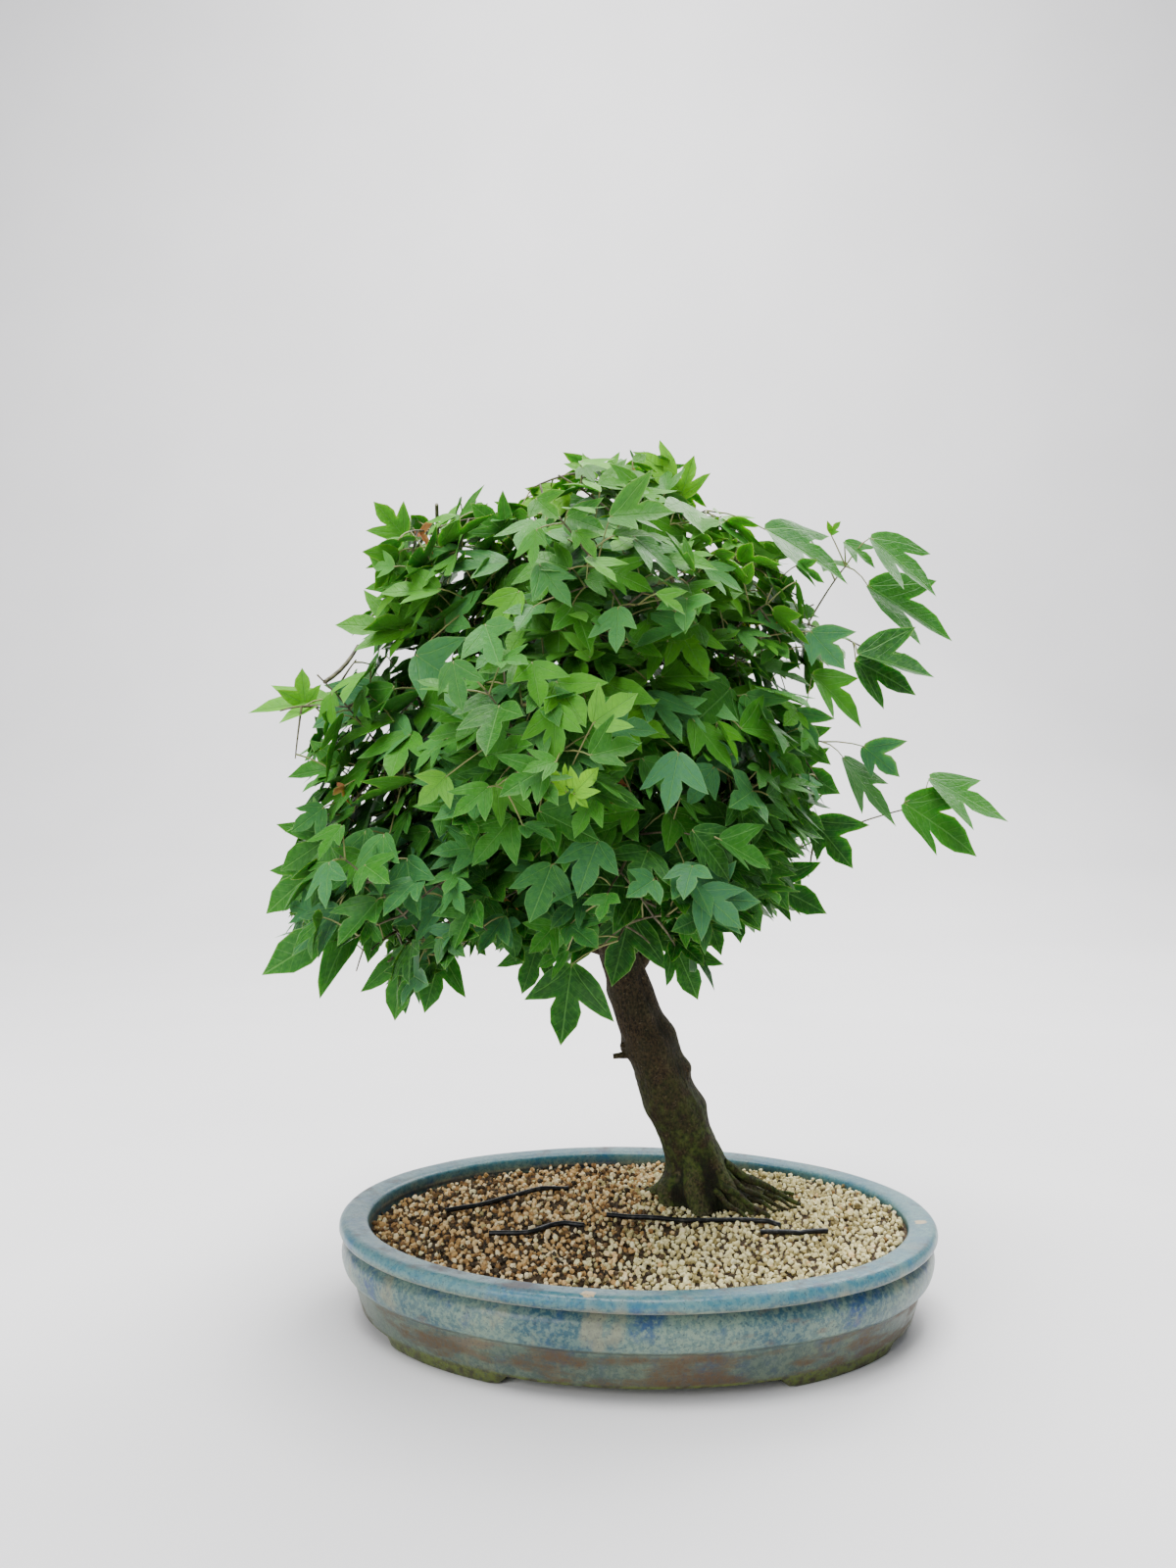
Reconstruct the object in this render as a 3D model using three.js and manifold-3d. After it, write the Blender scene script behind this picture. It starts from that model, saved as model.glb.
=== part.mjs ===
// A trident maple bonsai in the slanting style, in a shallow oval pot with a blue glaze.
// Millimetres, +Z up. The origin is under the middle of the tree and pot, on the surface that the pot stands
// on; +X is to the right of the front view and the front is towards -Y.
//
// The pot is a lofted oval on four feet, filled with gravel that rises to the foot of the tree. The trunk is
// cut flat where it meets the gravel, flares into surface roots, leans to the left and runs up through the
// crown. Boughs leave it in three tiers, and each carries one mass of foliage: twigs that branch by a seeded
// rule from one stem, with three-lobed leaves on thin stalks. One more mass grows from the trunk's tip.
import * as THREE from "three";
import { mergeVertices } from "three/addons/utils/BufferGeometryUtils.js";
import Module from "manifold-3d";

// Pot: an oval of this half-width and half-depth at the lip. The profile is given as inset and height, from
// the base up the outside, over the lip and down the inside to the floor.
const POT_HALF_WIDTH = 190;
const POT_HALF_DEPTH = 145;
const POT_SIDES = 40;
const FOOT_HEIGHT = 7;
const FLOOR_TOP = 14;
const WALL_INSET = 18.5;
const FLOOR_INSET = 23;
const WALL_FOOT = 20;
const POT_PROFILE = [
  [13.7, FOOT_HEIGHT],
  [9.6, 20],
  [7.2, 27],
  [3.2, 32],
  [2.2, 40],
  [5.4, 50.5],
  [1.2, 52.5],
  [0, 56],
  [2.5, 61],
  [15.5, 60.6],
  [WALL_INSET, 58],
  [WALL_INSET, WALL_FOOT],
  [FLOOR_INSET, FLOOR_TOP],
];
// Feet: each spans these degrees of its quarter of the oval, counted from the pot's long axis.
const FOOT_ARC = [30, 64];
const FOOT_INSET = [17, 33];
const FOOT_SINK = 2;
const FOOT_STEPS = 5;
const DRAIN_RADIUS = 9;
const DRAIN_SPREAD = 85;
const DRAIN_SIDES = 10;

// Gravel: a little higher at the right wall than at the left one, level under the foot of the tree, and in
// low mounds between the two.
const GAP = 0.3;
const GRAVEL_EDGE = 54.5;
const GRAVEL_TILT = 0.022;
const GRAVEL_SHARES = [0, 0.14, 0.28, 0.42, 0.56, 0.7, 0.85, 1];
const MOUND_HEIGHT = 3;
const MOUND_SEED = 5;
const GROUND = 60;
const SEAT_MIDDLE = [50, 26];
const SEAT_HALF = [58, 44];

// Trunk: each row holds a height, the middle of the section there and its radius.
const TRUNK_SIDES = 14;
const TRUNK_LINE = [
  [GROUND, 47, 28, 21.5],
  [66, 45, 28, 20.5],
  [76, 42, 27.5, 19.5],
  [90, 38.5, 27, 19],
  [108, 31, 26, 18.6],
  [120, 26.5, 25.5, 19.6],
  [134, 20, 25, 19],
  [152, 13, 24.5, 17.8],
  [165, 8, 24, 18.2],
  [182, 0, 24, 16],
  [205, -7, 24, 14.4],
  [235, -17, 23, 13],
  [270, -27, 22, 11.6],
  [310, -36, 20, 10.2],
  [345, -37, 18, 8.8],
  [385, -33, 17, 7.2],
  [425, -29, 17, 5.6],
  [462, -26, 18, 3.6],
];
// Surface roots: direction and half-angle in degrees, how far each stands out, and how fast it dies upwards.
const ROOTS = [
  { toward: 4, wide: 17, out: 33, fade: 10 },
  { toward: -48, wide: 15, out: 22, fade: 9.4 },
  { toward: -100, wide: 17, out: 17, fade: 12 },
  { toward: -150, wide: 15, out: 13, fade: 8.3 },
  { toward: 158, wide: 17, out: 22, fade: 10.5 },
  { toward: 95, wide: 22, out: 14, fade: 10 },
  { toward: 48, wide: 18, out: 12, fade: 8.3 },
];
// Two stubs of pruned shoots on the left side of the trunk.
const STUB_HEIGHT = 158;
const STUB_RADII = [3.4, 1];
const STUB_SIDES = 5;
const STUBS = [
  { way: [-0.96, -0.1, -0.12], long: 9 },
  { way: [-0.9, -0.2, 0.2], long: 5 },
];

// Boughs: bowed limbs. limb holds the height of a tier's first bough on the trunk and the step to the next.
const BOUGH_SIDES = 5;
const BOUGH_STEPS = 3;
const BOUGH_BOW = 9;
const BOUGH_ROOT_SHARE = 0.5;
const BOUGH_TIP = 3;
const BOUGH_REACH = [0.35, 0.8];

// Crown: tiers of masses round the trunk, from the lowest up, then the one at the top. Each mass fills an
// ellipsoid, less what lies deeper in its neighbours. leaves scales the leaf, and droop turns it down.
const TIERS = [
  {
    tier: "low",
    sides: ["right", "back", "left", "front_left", "front_right"],
    first: 14,
    middle: [-57, 0, 265],
    ring: [114, 88],
    half: [82, 76, 66],
    tilt: 0.1,
    limb: [205, 9],
    leaves: 1.06,
    droop: 1.35,
  },
  {
    tier: "mid",
    sides: ["right", "back_right", "back_left", "left", "front"],
    first: -22,
    middle: [-50, 2, 350],
    ring: [108, 88],
    half: [86, 80, 82],
    tilt: -0.05,
    limb: [292, 9],
    leaves: 1,
    droop: 1.1,
  },
  {
    tier: "high",
    sides: ["right", "back", "left", "front"],
    first: 8,
    middle: [-30, 4, 447],
    ring: [86, 80],
    half: [75, 77, 70],
    tilt: -0.1,
    limb: [382, 8],
    leaves: 0.94,
    droop: 0.7,
  },
];
const APEX = { middle: [-20, 6, 505], half: [96, 84, 50], leaves: 0.86, droop: 0.35 };
// Long shoots that stand out of the crown: where each ends.
const LONG_SHOOTS = [
  [193, 46, 322],
  [134, 20, 480],
  [142, -18, 420],
  [-226, -30, 378],
  [-212, -24, 268],
  [-138, -10, 494],
];
const LONG_REACH = 0.6;

// Twigs: the shoots of a mass end at even directions round its middle, these shares of the way to its edge.
const SEED = 38;
const SHOOTS = 7;
const SHOOT_SHARE = [0.58, 0.2];
const SHOOT_RISE = 0.4;
const SHOOT_STEP_BACK = 0.06;
const SHOOT_CLEAR = 6;
const SHORTEST_SHOOT = 25;
const SHOOT_BEND = 0.55;
const SHOOT_BOW = 0.08;
const HUB_SHARE = 0.6;
const STEM_SHARES = [0.6, 0.94];
const STEM_RADIUS = 2.4;
const SHOOT_RADIUS = 1.5;
const TIP_RADIUS = 0.9;
const TWIG_SIDES = 3;
const TWIG_CLEAR = 1;
const NODE_SHARE = 0.5;
const NODE_LENGTH = 3;

// Leaves
const STALK_RADIUS = 0.75;
const STALK_LENGTH = 20;
const LEAF_LENGTH = 54;
const LEAF_THICKNESS = 1.1;
const LEAF_CUP = 3;
const LEAF_BULGE = 0.42;
const LEAF_SPREAD = [0.8, 0.35];
const STALK_SPREAD = [0.6, 0.7];
const LEAF_TRIES = 12;
const LEAF_MARGIN = 0.015;
const FOLD_BACK = -0.6;
const STALK_SWAY = 0.6;
const STALK_STANDS = 0.3;
const TOUCH_VOLUME = 0.02;
// Half of the outline of a leaf of length 1 between its base and the tip of its middle lobe: across, along.
const SIDE_LOBE = [0.45, 0.66];
const NOTCH = [0.19, 0.6];

// Tie wires on the gravel: the places that each passes, from above.
const WIRE_RADIUS = 1.4;
const WIRE_SIDES = 6;
const WIRE_STEPS = 10;
const WIRE_REST = 4;
const WIRES = [
  [[-125, 14], [-100, 24], [-70, 42], [-45, 47]],
  [[-93, -30], [-68, -34], [-52, -24], [-34, -26]],
  [[-20, -13], [28, -20], [72, -20], [88, -29]],
  [[74, -38], [96, -37], [116, -36]],
];

// Finishes
const GLAZE = { color: 0x6f98a8, roughness: 0.35, metalness: 0 };
const GRAVEL = { color: 0xa58a63, roughness: 0.95, metalness: 0 };
const BARK = { color: 0x4c4230, roughness: 0.9, metalness: 0 };
const LEAF = { color: 0x2f7a33, roughness: 0.5, metalness: 0 };
const WIRE = { color: 0x1c2226, roughness: 0.45, metalness: 0.5 };

const vec = (x, y, z) => new THREE.Vector3(x, y, z);
const UP = vec(0, 0, 1);
const radians = THREE.MathUtils.degToRad;
const mix = THREE.MathUtils.lerp;
const bonsai = new THREE.Group();
const wasm = await Module();
wasm.setup();

// Numbers from 0 to 1, the same ones for the same seed.
function seeded(seed) {
  let state = seed;
  return () => {
    state = (Math.imul(state, 1664525) + 1013904223) >>> 0;
    return state / 2 ** 32;
  };
}

function centre(points) {
  return points.reduce((sum, p) => sum.add(p), vec(0, 0, 0)).divideScalar(points.length);
}

// Geometry and booleans

function geometry(points, faces) {
  const made = new THREE.BufferGeometry();
  made.setAttribute("position", new THREE.Float32BufferAttribute(points.flatMap((p) => [p.x, p.y, p.z]), 3));
  made.setIndex(faces);
  return made;
}

// A closed skin over a row of rings with equal counts of points, with a fan over each end.
function skin(rings) {
  const points = rings.flat();
  const sides = rings[0].length;
  const faces = [];
  for (let i = 0; i + 1 < rings.length; i++) {
    for (let j = 0; j < sides; j++) {
      const a = i * sides + j;
      const b = i * sides + ((j + 1) % sides);
      faces.push(a, b, b + sides, a, b + sides, a + sides);
    }
  }
  const close = (first, turned) => {
    if (sides === 3) {
      faces.push(...(turned ? [first + 2, first + 1, first] : [first, first + 1, first + 2]));
      return;
    }
    const middle = points.push(centre(points.slice(first, first + sides))) - 1;
    for (let j = 0; j < sides; j++) {
      const a = first + j;
      const b = first + ((j + 1) % sides);
      faces.push(...(turned ? [b, a, middle] : [a, b, middle]));
    }
  };
  close(0, true);
  close((rings.length - 1) * sides, false);
  return geometry(points, faces);
}

function solid(shape) {
  const bare = shape.clone();
  bare.deleteAttribute("normal");
  bare.deleteAttribute("uv");
  const merged = mergeVertices(bare);
  const vertProperties = merged.attributes.position.array;
  const triVerts = new Uint32Array(merged.index.array);
  return new wasm.Manifold(new wasm.Mesh({ numProp: 3, vertProperties, triVerts }));
}

function shapeOf(made) {
  const { vertProperties, triVerts } = made.getMesh();
  const shape = new THREE.BufferGeometry();
  shape.setAttribute("position", new THREE.BufferAttribute(vertProperties, 3));
  shape.setIndex(new THREE.BufferAttribute(triVerts, 1));
  return shape;
}

function place(name, shape, finish) {
  const mesh = new THREE.Mesh(shape, new THREE.MeshStandardMaterial(finish));
  mesh.name = name;
  bonsai.add(mesh);
  return mesh;
}

// Rings of points square to a path, which all start on the same side of it.
function ringsAlong(path, ways, radii, sides) {
  const whole = path.at(-1).clone().sub(path[0]).normalize();
  const aside = Math.abs(whole.z) > Math.SQRT1_2 ? vec(1, 0, 0) : UP;
  return path.map((p, i) => {
    const across = aside.clone().cross(ways[i]).normalize();
    const third = ways[i].clone().cross(across);
    return Array.from({ length: sides }, (_, j) => {
      const angle = (j / sides) * 2 * Math.PI;
      const out = across.clone().multiplyScalar(Math.cos(angle)).addScaledVector(third, Math.sin(angle));
      return p.clone().addScaledVector(out, radii[i]);
    });
  });
}

// A tapering limb along a path.
function limb(path, radii, sides) {
  const last = path.length - 1;
  const chord = (i) => path[Math.min(i + 1, last)].clone().sub(path[Math.max(i - 1, 0)]);
  const ways = path.map((_, i) => chord(i).normalize());
  return solid(skin(ringsAlong(path, ways, radii, sides)));
}

// Pot and gravel

function ovalPoint(inset, angle, z) {
  return vec((POT_HALF_WIDTH - inset) * Math.cos(angle), (POT_HALF_DEPTH - inset) * Math.sin(angle), z);
}

const ovalAngles = Array.from({ length: POT_SIDES }, (_, i) => (i / POT_SIDES) * 2 * Math.PI);
const oval = (inset, z) => ovalAngles.map((angle) => ovalPoint(inset, angle, z));

// One foot: a curved block under the rim of the base. Odd quarters run the other way round the oval.
function foot(quarter) {
  const mirrored = quarter % 2 === 1;
  const axis = quarter === 1 || quarter === 2 ? Math.PI : 0;
  const [outer, inner] = FOOT_INSET;
  const top = FOOT_HEIGHT + FOOT_SINK;
  const rings = [];
  for (let i = 0; i <= FOOT_STEPS; i++) {
    const share = mirrored ? 1 - i / FOOT_STEPS : i / FOOT_STEPS;
    const angle = axis + (mirrored ? -1 : 1) * radians(mix(...FOOT_ARC, share));
    const at = (inset, z) => ovalPoint(inset, angle, z);
    rings.push([at(outer, 0), at(inner, 0), at(inner, top), at(outer, top)]);
  }
  return solid(skin(rings));
}

function drain(x) {
  const hole = new THREE.CylinderGeometry(DRAIN_RADIUS, DRAIN_RADIUS, 3 * FLOOR_TOP, DRAIN_SIDES);
  return solid(hole.rotateX(Math.PI / 2).translate(x, 0, 0));
}

function makePot() {
  let made = solid(skin(POT_PROFILE.map(([inset, z]) => oval(inset, z))));
  for (let quarter = 0; quarter < 4; quarter++) made = made.add(foot(quarter));
  made = made.subtract(drain(-DRAIN_SPREAD)).subtract(drain(DRAIN_SPREAD));
  place("pot", shapeOf(made), GLAZE);
}

// A ring of the gravel's surface: share 0 lies along the wall, and share 1 round the level seat of the tree.
function gravelRing(share, mounds) {
  const rise = share * share * (3 - 2 * share);
  const loose = share > 0 && share < 1;
  return ovalAngles.map((angle) => {
    const edge = ovalPoint(WALL_INSET + GAP, angle, 0);
    const x = mix(edge.x, SEAT_MIDDLE[0] + SEAT_HALF[0] * Math.cos(angle), share);
    const y = mix(edge.y, SEAT_MIDDLE[1] + SEAT_HALF[1] * Math.sin(angle), share);
    const mound = loose ? MOUND_HEIGHT * (mounds() - 0.5) : 0;
    return vec(x, y, mix(GRAVEL_EDGE + GRAVEL_TILT * edge.x, GROUND, rise) + mound);
  });
}

function makeGravel() {
  const mounds = seeded(MOUND_SEED);
  const sides = [oval(FLOOR_INSET + GAP, FLOOR_TOP), oval(WALL_INSET + GAP, WALL_FOOT + GAP)];
  const surface = GRAVEL_SHARES.map((share) => gravelRing(share, mounds));
  place("gravel_bed", skin([...sides, ...surface]), GRAVEL);
}

// The tie wires lie on the highest gravel near them.
function makeWires() {
  const bed = bonsai.getObjectByName("gravel_bed");
  const down = new THREE.Raycaster();
  const ground = (x, y) => {
    down.set(vec(x, y, 2 * GROUND), vec(0, 0, -1));
    return down.intersectObject(bed)[0].point.z;
  };
  const near = [[0, 0], [WIRE_REST, 0], [-WIRE_REST, 0], [0, WIRE_REST], [0, -WIRE_REST]];
  const onGravel = ({ x, y }) => {
    const highest = Math.max(...near.map(([aside, back]) => ground(x + aside, y + back)));
    return vec(x, y, highest + WIRE_RADIUS + GAP);
  };
  WIRES.forEach((places, i) => {
    const curve = new THREE.CatmullRomCurve3(places.map(([x, y]) => vec(x, y, 0)));
    const path = curve.getSpacedPoints(WIRE_STEPS).map(onGravel);
    place(`tie_wire_${i + 1}`, shapeOf(limb(path, path.map(() => WIRE_RADIUS), WIRE_SIDES)), WIRE);
  });
}

// Trunk and boughs

// How far the trunk's foot stands out at an angle and a height above the ground.
function flare(angle, height) {
  return ROOTS.reduce((sum, { toward, wide, out, fade }) => {
    const apart = Math.atan2(Math.sin(angle - radians(toward)), Math.cos(angle - radians(toward)));
    return sum + out * Math.exp(-((apart / radians(wide)) ** 2) - height / fade);
  }, 0);
}

function trunkSolid(extra) {
  const rings = TRUNK_LINE.map(([z, x, y, radius]) =>
    Array.from({ length: TRUNK_SIDES }, (_, i) => {
      const angle = (i / TRUNK_SIDES) * 2 * Math.PI;
      const out = radius + extra + flare(angle, z - GROUND);
      return vec(x + out * Math.cos(angle), y + out * Math.sin(angle), z);
    }),
  );
  return solid(skin(rings));
}

// The middle and radius of the trunk at a height.
function trunkAt(z) {
  const above = TRUNK_LINE.findIndex((row) => row[0] >= z);
  const i = above === -1 ? TRUNK_LINE.length - 1 : Math.max(1, above);
  const [a, b] = [TRUNK_LINE[i - 1], TRUNK_LINE[i]];
  const t = THREE.MathUtils.clamp((z - a[0]) / (b[0] - a[0]), 0, 1);
  const [height, x, y, radius] = a.map((value, k) => mix(value, b[k], t));
  return { point: vec(x, y, height), radius };
}

function makeTrunk() {
  const { point, radius } = trunkAt(STUB_HEIGHT);
  let made = trunkSolid(0);
  for (const { way, long } of STUBS) {
    const out = (distance) => point.clone().addScaledVector(vec(...way), distance);
    made = made.add(limb([out(radius / 2), out(radius + long)], STUB_RADII, STUB_SIDES));
  }
  place("trunk", shapeOf(made), BARK);
}

// A bough bows up from the trunk and ends where it enters the space of its mass.
function growBough(mass) {
  const start = trunkAt(mass.limbHeight);
  const bow = start.point.clone().lerp(mass.middle, 0.5).addScaledVector(UP, BOUGH_BOW);
  const curve = new THREE.QuadraticBezierCurve3(start.point, bow, mass.middle);
  const entered = (p) => ownedBy(mass, p, 0.05) && depth(mass, p) < 0.85;
  let [end, furthest] = BOUGH_REACH;
  while (end < furthest && !entered(curve.getPoint(end))) end += 0.02;
  const shares = Array.from({ length: BOUGH_STEPS + 1 }, (_, i) => i / BOUGH_STEPS);
  const path = shares.map((share) => curve.getPoint(end * share));
  const radii = shares.map((share) => mix(start.radius * BOUGH_ROOT_SHARE, BOUGH_TIP, share));
  mass.foot = path.at(-1);
  mass.way = path.at(-1).clone().sub(path.at(-2)).normalize();
  mass.bough = { path, radii };
}

// Spaces of the masses

function crownMasses() {
  const made = [];
  for (const tier of TIERS) {
    const [x, y, z] = tier.middle;
    tier.sides.forEach((side, i) => {
      const angle = radians(tier.first + (i * 360) / tier.sides.length);
      const aside = tier.ring[0] * Math.cos(angle);
      made.push({
        name: `${tier.tier}_${side}`,
        middle: vec(x + aside, y + tier.ring[1] * Math.sin(angle), z + tier.tilt * aside),
        half: vec(...tier.half),
        limbHeight: tier.limb[0] + i * tier.limb[1],
        leaves: tier.leaves,
        droop: tier.droop,
      });
    });
  }
  const { middle, half, leaves, droop } = APEX;
  const tip = trunkAt(TRUNK_LINE.at(-1)[0]).point;
  made.push({ name: "apex", middle: vec(...middle), half: vec(...half), foot: tip, way: UP, leaves, droop });
  for (const mass of made) mass.long = [];
  for (const end of LONG_SHOOTS) {
    const p = vec(...end);
    made.reduce((a, b) => (depth(b, p) < depth(a, p) ? b : a)).long.push(p);
  }
  return made;
}

// How deep a point is in a mass: 0 at its middle and 1 at the edge of its space.
function depth(mass, p) {
  return p.clone().sub(mass.middle).divide(mass.half).length();
}

// Whether a point lies in this mass's own share of the crown, a margin away from the other shares.
function ownedBy(mass, p, margin) {
  const own = depth(mass, p);
  return masses.every((other) => other === mass || depth(other, p) > own + margin);
}

// How near a point comes to the trunk or a bough, less that limb's radius.
function clearOfLimbs(p) {
  const beside = trunkAt(p.z);
  let clear = p.distanceTo(beside.point) - beside.radius;
  for (const { bough } of masses) {
    if (!bough) continue;
    for (let i = 0; i + 1 < bough.path.length; i++) {
      const line = new THREE.Line3(bough.path[i], bough.path[i + 1]);
      const t = line.closestPointToPointParameter(p, true);
      const near = line.at(t, vec(0, 0, 0));
      clear = Math.min(clear, p.distanceTo(near) - mix(bough.radii[i], bough.radii[i + 1], t));
    }
  }
  return clear;
}

// Twigs

// Ends of the shoots: even directions round the mass's middle, drawn in until they lie in its own space.
function shootEnds(mass, random) {
  const ends = [...mass.long];
  const golden = Math.PI * (3 - Math.sqrt(5));
  const phase = random() * 2 * Math.PI;
  for (let i = 0; i < SHOOTS; i++) {
    const z = 1 - (2 * i + 1) / SHOOTS;
    const ring = Math.sqrt(1 - z * z);
    const angle = phase + i * golden;
    const way = vec(ring * Math.cos(angle), ring * Math.sin(angle), z).multiply(mass.half);
    let share = (SHOOT_SHARE[0] + SHOOT_SHARE[1] * random()) * (1 + SHOOT_RISE * z);
    const at = () => mass.middle.clone().addScaledVector(way, share);
    const fits = () => ownedBy(mass, at(), 0.12) && clearOfLimbs(at()) > SHOOT_CLEAR;
    while (share > 0.2 && !fits()) share -= SHOOT_STEP_BACK;
    ends.push(at());
  }
  return ends;
}

// Whether a twig keeps clear of the trunk and the boughs all along.
function twigClear(path, radius) {
  const steps = 6;
  for (let i = 0; i + 1 < path.length; i++) {
    for (let j = 0; j <= steps; j++) {
      if (clearOfLimbs(path[i].clone().lerp(path[i + 1], j / steps)) < radius + TWIG_CLEAR) return false;
    }
  }
  return true;
}

// A shoot's rings: at its start, a short pair of rings at its node, another at its tip.
function shootRings({ from, bend, end, start }) {
  const curve = new THREE.QuadraticBezierCurve3(from, bend, end);
  const step = NODE_LENGTH / curve.getLength();
  const shares = [0, NODE_SHARE, NODE_SHARE + step, 1 - step, 1];
  const path = shares.map((share) => curve.getPointAt(share));
  const ways = shares.map((share) => curve.getTangentAt(share));
  return ringsAlong(path, ways, shares.map((share) => mix(start, TIP_RADIUS, share)), TWIG_SIDES);
}

// The wood of a mass: a stem from the bough's tip to a hub, then each shoot from the nearest wood there is.
function growWood(mass, random) {
  const base = mass.foot.clone().addScaledVector(mass.way, GAP);
  const collar = base.clone().addScaledVector(mass.way, STEM_RADIUS);
  const hub = base.clone().lerp(mass.middle, HUB_SHARE);
  const wood = STEM_SHARES.map((share) => ({ p: collar.clone().lerp(hub, share), r: STEM_RADIUS }));
  mass.stem = limb([base, collar, hub], [STEM_RADIUS, STEM_RADIUS, 0.9 * STEM_RADIUS], TWIG_SIDES);
  mass.shoots = [];
  const ends = shootEnds(mass, random).sort((a, b) => a.distanceTo(base) - b.distanceTo(base));
  for (const end of ends) {
    const from = wood.reduce((a, b) => (end.distanceTo(b.p) < end.distanceTo(a.p) ? b : a));
    const long = from.p.distanceTo(end);
    const bend = from.p.clone().lerp(end, SHOOT_BEND).addScaledVector(UP, SHOOT_BOW * long);
    const start = Math.min(0.85 * from.r, SHOOT_RADIUS);
    if (long < SHORTEST_SHOOT || !twigClear([from.p, bend, end], start)) continue;
    const rings = shootRings({ from: from.p, bend, end, start });
    mass.shoots.push({ rings, end, way: end.clone().sub(bend).normalize() });
    const [first, second, third, fourth] = rings.map(centre);
    wood.push({ p: first.lerp(second, 0.55), r: mix(start, TIP_RADIUS, 0.3) });
    wood.push({ p: third.lerp(fourth, 0.3), r: mix(start, TIP_RADIUS, 0.6) });
  }
}

// Leaves

// A leaf on its stalk: a thin three-lobed blade, cupped, thickest near its middle. The stalk starts at three
// given points, in order round it, and is turned so that it does not twist. Points 0 to 2 lie round the end
// of the stalk, 3 and 4 on the blade's middle vein, above and below, and 5 to 9 along its outline.
function leafParts(leaf, start) {
  const { base, along, normal, length } = leaf;
  const across = along.clone().cross(normal);
  const at = (x, y, z) =>
    base.clone().addScaledVector(across, x).addScaledVector(along, y).addScaledVector(normal, z);
  const onEdge = (side, [x, y]) => at(side * x * length, y * length, 0);
  const halfway = base.clone().sub(centre(start)).normalize().add(along);
  const under = base.clone().addScaledVector(halfway.cross(across).normalize(), STALK_RADIUS);
  const ring = [at(-STALK_RADIUS, 0, 0), at(STALK_RADIUS, 0, 0), under];
  const lobes = [onEdge(-1, SIDE_LOBE), onEdge(-1, NOTCH), at(0, length, -LEAF_CUP)];
  lobes.push(onEdge(1, NOTCH), onEdge(1, SIDE_LOBE));
  const bulge = LEAF_BULGE * length;
  const points = [...ring, at(0, bulge, LEAF_THICKNESS - LEAF_CUP), at(0, bulge, -LEAF_CUP), ...lobes];
  const [top, bottom] = [3, 4];
  const edge = [0, 5, 6, 7, 8, 9, 1];
  const faces = [[0, 1, top], [0, bottom, 2], [2, bottom, 1]];
  for (let i = 0; i + 1 < edge.length; i++) {
    faces.push([edge[i + 1], edge[i], top], [edge[i], edge[i + 1], bottom]);
  }
  const spokes = (triangle) => triangle.map((p) => p.clone().sub(centre(triangle)));
  const [here, there] = [spokes(ring), spokes(start)];
  const agreement = (k) => here.reduce((sum, spoke, i) => sum + spoke.dot(there[(i + k) % 3]), 0);
  const turned = [0, 1, 2].reduce((a, b) => (agreement(b) > agreement(a) ? b : a));
  return { points, faces, turned };
}

// Adds a leaf to a list of points and faces, its stalk starting at the three points with the given numbers.
function joinLeaf(points, faces, leaf, start) {
  const { points: more, faces: blade, turned } = leafParts(leaf, start.map((i) => points[i]));
  const first = points.length;
  points.push(...more);
  for (let i = 0; i < 3; i++) {
    const j = (i + 1) % 3;
    const [a, b] = [start[(i + turned) % 3], start[(j + turned) % 3]];
    faces.push(a, b, first + j, a, first + j, first + i);
  }
  for (const face of blade) faces.push(...face.map((i) => first + i));
}

// A shoot as one closed solid: its three-sided skin, in which each leaf's stalk takes the place of one face,
// so that leaf and twig are one piece.
function shootSolid(rings, leaves) {
  const points = rings.flat();
  const faces = [2, 1, 0];
  const put = (site, ...face) => {
    const leaf = leaves.find((one) => one.site === site);
    if (leaf) joinLeaf(points, faces, leaf, face);
    else faces.push(...face);
  };
  for (let i = 0; i + 1 < rings.length; i++) {
    for (let j = 0; j < TWIG_SIDES; j++) {
      const a = i * TWIG_SIDES + j;
      const b = i * TWIG_SIDES + ((j + 1) % TWIG_SIDES);
      put(a, a, b, b + TWIG_SIDES);
      faces.push(a, b + TWIG_SIDES, a + TWIG_SIDES);
    }
  }
  const tip = (rings.length - 1) * TWIG_SIDES;
  put(tip, tip, tip + 1, tip + 2);
  return solid(geometry(points, faces));
}

// The same leaf as a solid of its own, to test what it would touch.
function loneLeaf(leaf, start) {
  const points = [...start];
  const faces = [2, 1, 0];
  joinLeaf(points, faces, leaf, [0, 1, 2]);
  return solid(geometry(points, faces));
}

// What stands already: the limbs, the twigs and the leaves, each with the box round it.
const standing = [];

function boxOf(made) {
  const { min, max } = made.boundingBox();
  return new THREE.Box3(vec(...min), vec(...max));
}

function stand(made) {
  standing.push({ made, box: boxOf(made) });
}

function touches(made) {
  const box = boxOf(made).expandByScalar(GAP);
  const overlaps = (other) => made.intersect(other.made).volume() > TOUCH_VOLUME;
  return standing.some((other) => box.intersectsBox(other.box) && overlaps(other));
}

// Whether the tips of the lobes and the base of a leaf lie in the mass's own space.
function leafOwned(mass, { base, along, normal, length }, reach) {
  const across = along.clone().cross(normal);
  return [[0, 1], SIDE_LOBE, [-SIDE_LOBE[0], SIDE_LOBE[1]], [0, 0.05]].every(([x, y]) => {
    const p = base.clone().addScaledVector(across, x * length).addScaledVector(along, y * length);
    return ownedBy(mass, p, LEAF_MARGIN) && depth(mass, p) < reach;
  });
}

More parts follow.
